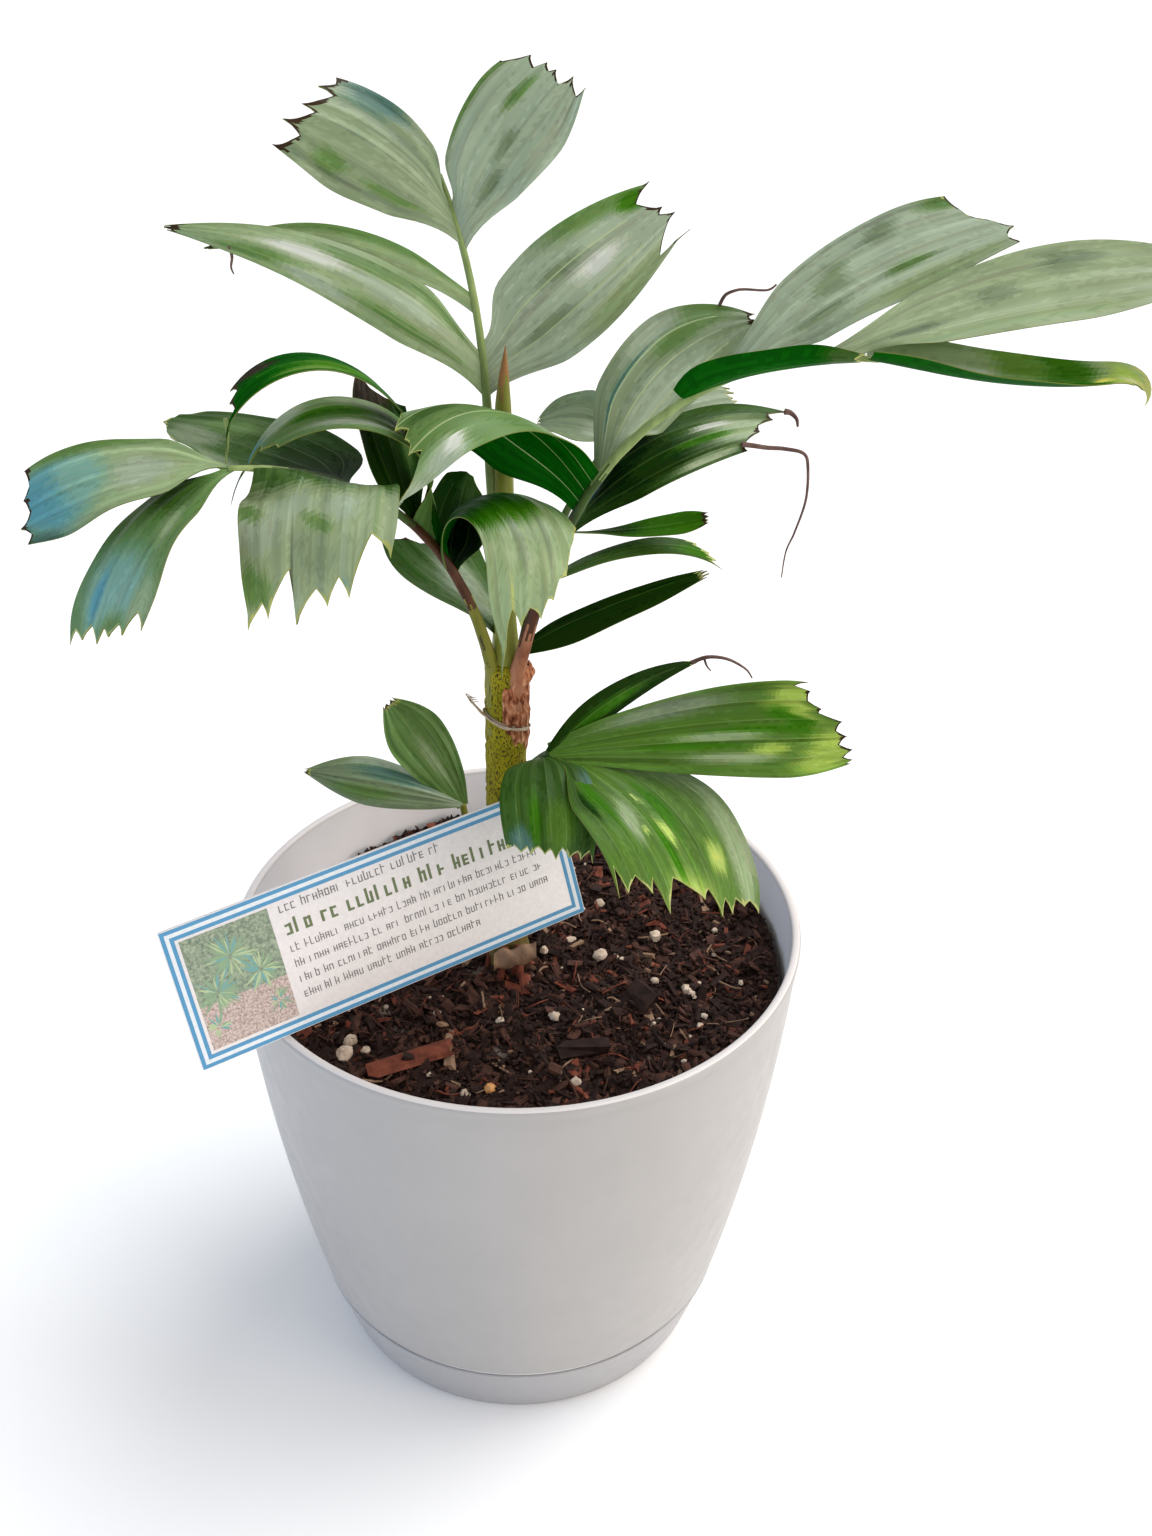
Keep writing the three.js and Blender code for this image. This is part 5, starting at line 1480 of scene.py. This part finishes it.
def card_outline(inset):
    """The card's edge with its rounded corners, drawn in by an inset."""
    corners = ((CARD_LONG - CARD_CORNER, CARD_CORNER), (CARD_LONG - CARD_CORNER,
                                                        CARD_TALL - CARD_CORNER),
               (CARD_CORNER, CARD_TALL - CARD_CORNER), (CARD_CORNER, CARD_CORNER))
    points = [point for k, corner in enumerate(corners)
              for point in arc(corner, CARD_CORNER, 90 * k - 90, 90 * k, 4)]
    middle = np.array([CARD_LONG, CARD_TALL]) / 2
    return [point + np.sign(middle - point) * inset for point in np.array(points)]


card = Parts()
layers = [card_point(u, v, depth)
          for inset, depth in ((CARD_BEVEL, 0), (0, -CARD_BEVEL), (0, CARD_BEVEL - CARD_THICK),
                               (CARD_BEVEL, -CARD_THICK))
          for u, v in card_outline(inset)]
n = len(card_outline(0))
sides = [quad[::-1] for quad in grid_faces(4, n, closed=True).tolist()]
card.add(layers, [tuple(range(n)), tuple(range(4 * n - 1, 3 * n - 1, -1)), *sides], CARD)
head = card_point(CARD_LONG * (0.5 + STAKE_TOP[0]), CARD_TALL * STAKE_TOP[1],
                  -CARD_THICK - STAKE_RADIUS * 0.6)
ground = np.array([*STAKE_FOOT, soil_height(math.hypot(*STAKE_FOOT)) - STAKE_DEPTH])
add_tube(card, smooth_line([head, (head + ground) / 2, ground], 12), STAKE_RADIUS, 12, CARD)
card.make("label_card", PRINT_MATERIALS, sharp=40, stands_for=["label"])

printing = Parts()


def patch(u0, v0, u1, v1, depth, kind):
    """A printed rectangle."""
    printing.add([card_point(u0, v0, depth), card_point(u1, v0, depth),
                  card_point(u1, v1, depth), card_point(u0, v1, depth)], [(0, 1, 2, 3)], kind)


for outer, inner, kind in zip(BORDER_LINES, BORDER_LINES[1:], (BLUE, WHITE, BLUE)):
    for u0, v0, u1, v1 in ((outer, outer, CARD_LONG - outer, inner),
                           (outer, CARD_TALL - inner, CARD_LONG - outer, CARD_TALL - outer),
                           (outer, inner, inner, CARD_TALL - inner),
                           (CARD_LONG - inner, inner, CARD_LONG - outer, CARD_TALL - inner)):
        patch(u0, v0, u1, v1, INK, kind)

# The picture: mottled ground below, thicket above, and tufts, each with its place, its reach and
# how many leaves it has
left, foot, right, top = PICTURE
patch(left, foot, right, PICTURE_SPLIT, INK, GROUND)
patch(left, PICTURE_SPLIT, right, top, INK, THICKET)
TUFTS = (((12, 23), 9, 60), ((27, 25), 8, 54), ((19, 33), 10, 60), ((30, 13), 5, 20),
         ((9, 12), 5, 20))
random = np.random.default_rng(51)
for middle, reach, leaves in TUFTS:
    for k in range(leaves):
        turn = random.uniform(0, 2 * np.pi)
        size = reach * random.uniform(0.5, 1)
        way = np.array([math.cos(turn), math.sin(turn)])
        beside = np.array([-way[1], way[0]]) * random.uniform(0.25, 0.55)
        root = middle + way * 0.5
        shape = [root, root + way * size * 0.45 + beside, root + way * size,
                 root + way * size * 0.45 - beside]
        corners = [card_point(*np.clip(p, (left, foot), (right, top)), TUFT_INK + 0.0004 * k)
                   for p in shape]
        printing.add(corners, [(0, 3, 2, 1)],
                     int(random.choice([LEAF, TEAL, PALE], p=[0.45, 0.25, 0.3])))

# Strokes of the made-up letters: left, right, foot, middle and top
LETTER_FORMS = ("LRFT", "LFT", "LRT", "LRF", "L", "LFMT", "LT", "LRMT", "LM", "RFT", "LRM", "LF")
LETTER_WIDE = 0.46
LETTER_BODY = 0.72
LETTER_STEP = 0.62
WORD_GAP = 0.45
TALL_LETTERS = 0.3


def made_up_letter(u, v, height, stroke, kind):
    """A letter shape drawn at random, which spells nothing."""
    form = LETTER_FORMS[random.integers(len(LETTER_FORMS))]
    wide, body = LETTER_WIDE * height, LETTER_BODY * height
    tall = height if random.uniform() < TALL_LETTERS else body
    if "L" in form:
        patch(u, v, u + stroke, v + tall, LETTER_INK, kind)
    if "R" in form:
        patch(u + wide - stroke, v, u + wide, v + body, LETTER_INK, kind)
    for mark, level in (("F", 0), ("M", 0.5), ("T", 1)):
        if mark in form:
            bar = v + level * (body - stroke)
            patch(u + 0.1 * wide, bar, u + 0.9 * wide, bar + 0.85 * stroke, BAR_INK, kind)


# Lines of print: foot, right end, height, stroke, material
LINES = ((40.2, 94, 3.3, 0.36, GREY), (32.2, 122, 5.4, 0.95, OLIVE), (26.4, 126, 2.9, 0.32, GREY),
         (21, 128, 2.9, 0.32, GREY), (15.6, 130, 2.9, 0.32, GREY), (10.2, 104, 2.9, 0.32, GREY))
for v, last, height, stroke, kind in LINES:
    u = PRINT_LEFT
    while u < last - 3:
        for _ in range(random.integers(2, 9)):
            if u < last:
                made_up_letter(u, v, height, stroke, kind)
            u += LETTER_STEP * height
        u += WORD_GAP * height
printing.make("label_print", PRINT_MATERIALS, smooth=False)

# Room: pale floor, soft studio lights

def placed(name, data):
    """An object of the room, put in the scene."""
    thing = bpy.data.objects.new(name, data)
    bpy.context.scene.collection.objects.link(thing)
    return thing


def softbox(name, place, power, colour):
    light = bpy.data.lights.new(name, "AREA")
    light.size = BOX_WIDE
    light.energy = power
    light.color = colour
    turn = (Vector(BOX_AIM) - Vector(place)).to_track_quat("-Z", "Y")
    placed(name, light).matrix_world = Matrix.Translation(place) @ turn.to_matrix().to_4x4()


floor_mesh = bpy.data.meshes.new("floor")
floor_mesh.from_pydata([(-FLOOR, -FLOOR, 0), (FLOOR, -FLOOR, 0), (FLOOR, FLOOR, 0),
                        (-FLOOR, FLOOR, 0)], [], [(0, 1, 2, 3)])
pale = Surface("floor_pale")
pale.fill(pale.shader, {"Base Color": (FLOOR_PALE,) * 3 + (1,), "Roughness": 0.9})
floor_mesh.materials.append(pale.material)
floor = placed("floor", floor_mesh)

world = bpy.data.worlds.new("studio")
world.use_nodes = True
background = world.node_tree.nodes["Background"]
background.inputs["Color"].default_value = (1, 1, 1, 1)
background.inputs["Strength"].default_value = WORLD_LIGHT
bpy.context.scene.world = world

softbox("softbox_left", (-1.3, -0.5, 0.5), 5, (0.32, 0.58, 1))
softbox("softbox_right", (1.3, -0.7, 0.7), 10, (1, 0.89, 0.78))
sky_panel = bpy.data.lights.new("sky_panel", "SUN")
sky_panel.energy = PANEL_LIGHT
sky_panel.angle = math.radians(PANEL_SPREAD)
placed("sky_panel", sky_panel).rotation_euler = [math.radians(turn) for turn in PANEL_TURN]

# Camera at the photograph's place. It looks level along +Y before its pitch down. Above zero, its
# yaw turns it to the left and its roll tips its top to the left.
camera_data = bpy.data.cameras.new("camera")
camera_data.lens = LENS
camera_data.clip_start = 0.01
camera = placed("camera", camera_data)
camera.matrix_world = (Matrix.Translation(Vector(CAMERA_PLACE) * MM)
                       @ Matrix.Rotation(math.radians(CAMERA_YAW), 4, "Z")
                       @ Matrix.Rotation(math.radians(90 - CAMERA_PITCH), 4, "X")
                       @ Matrix.Rotation(math.radians(CAMERA_ROLL), 4, "Z"))
bpy.context.scene.camera = camera
bpy.context.scene.view_settings.view_transform = "Standard"
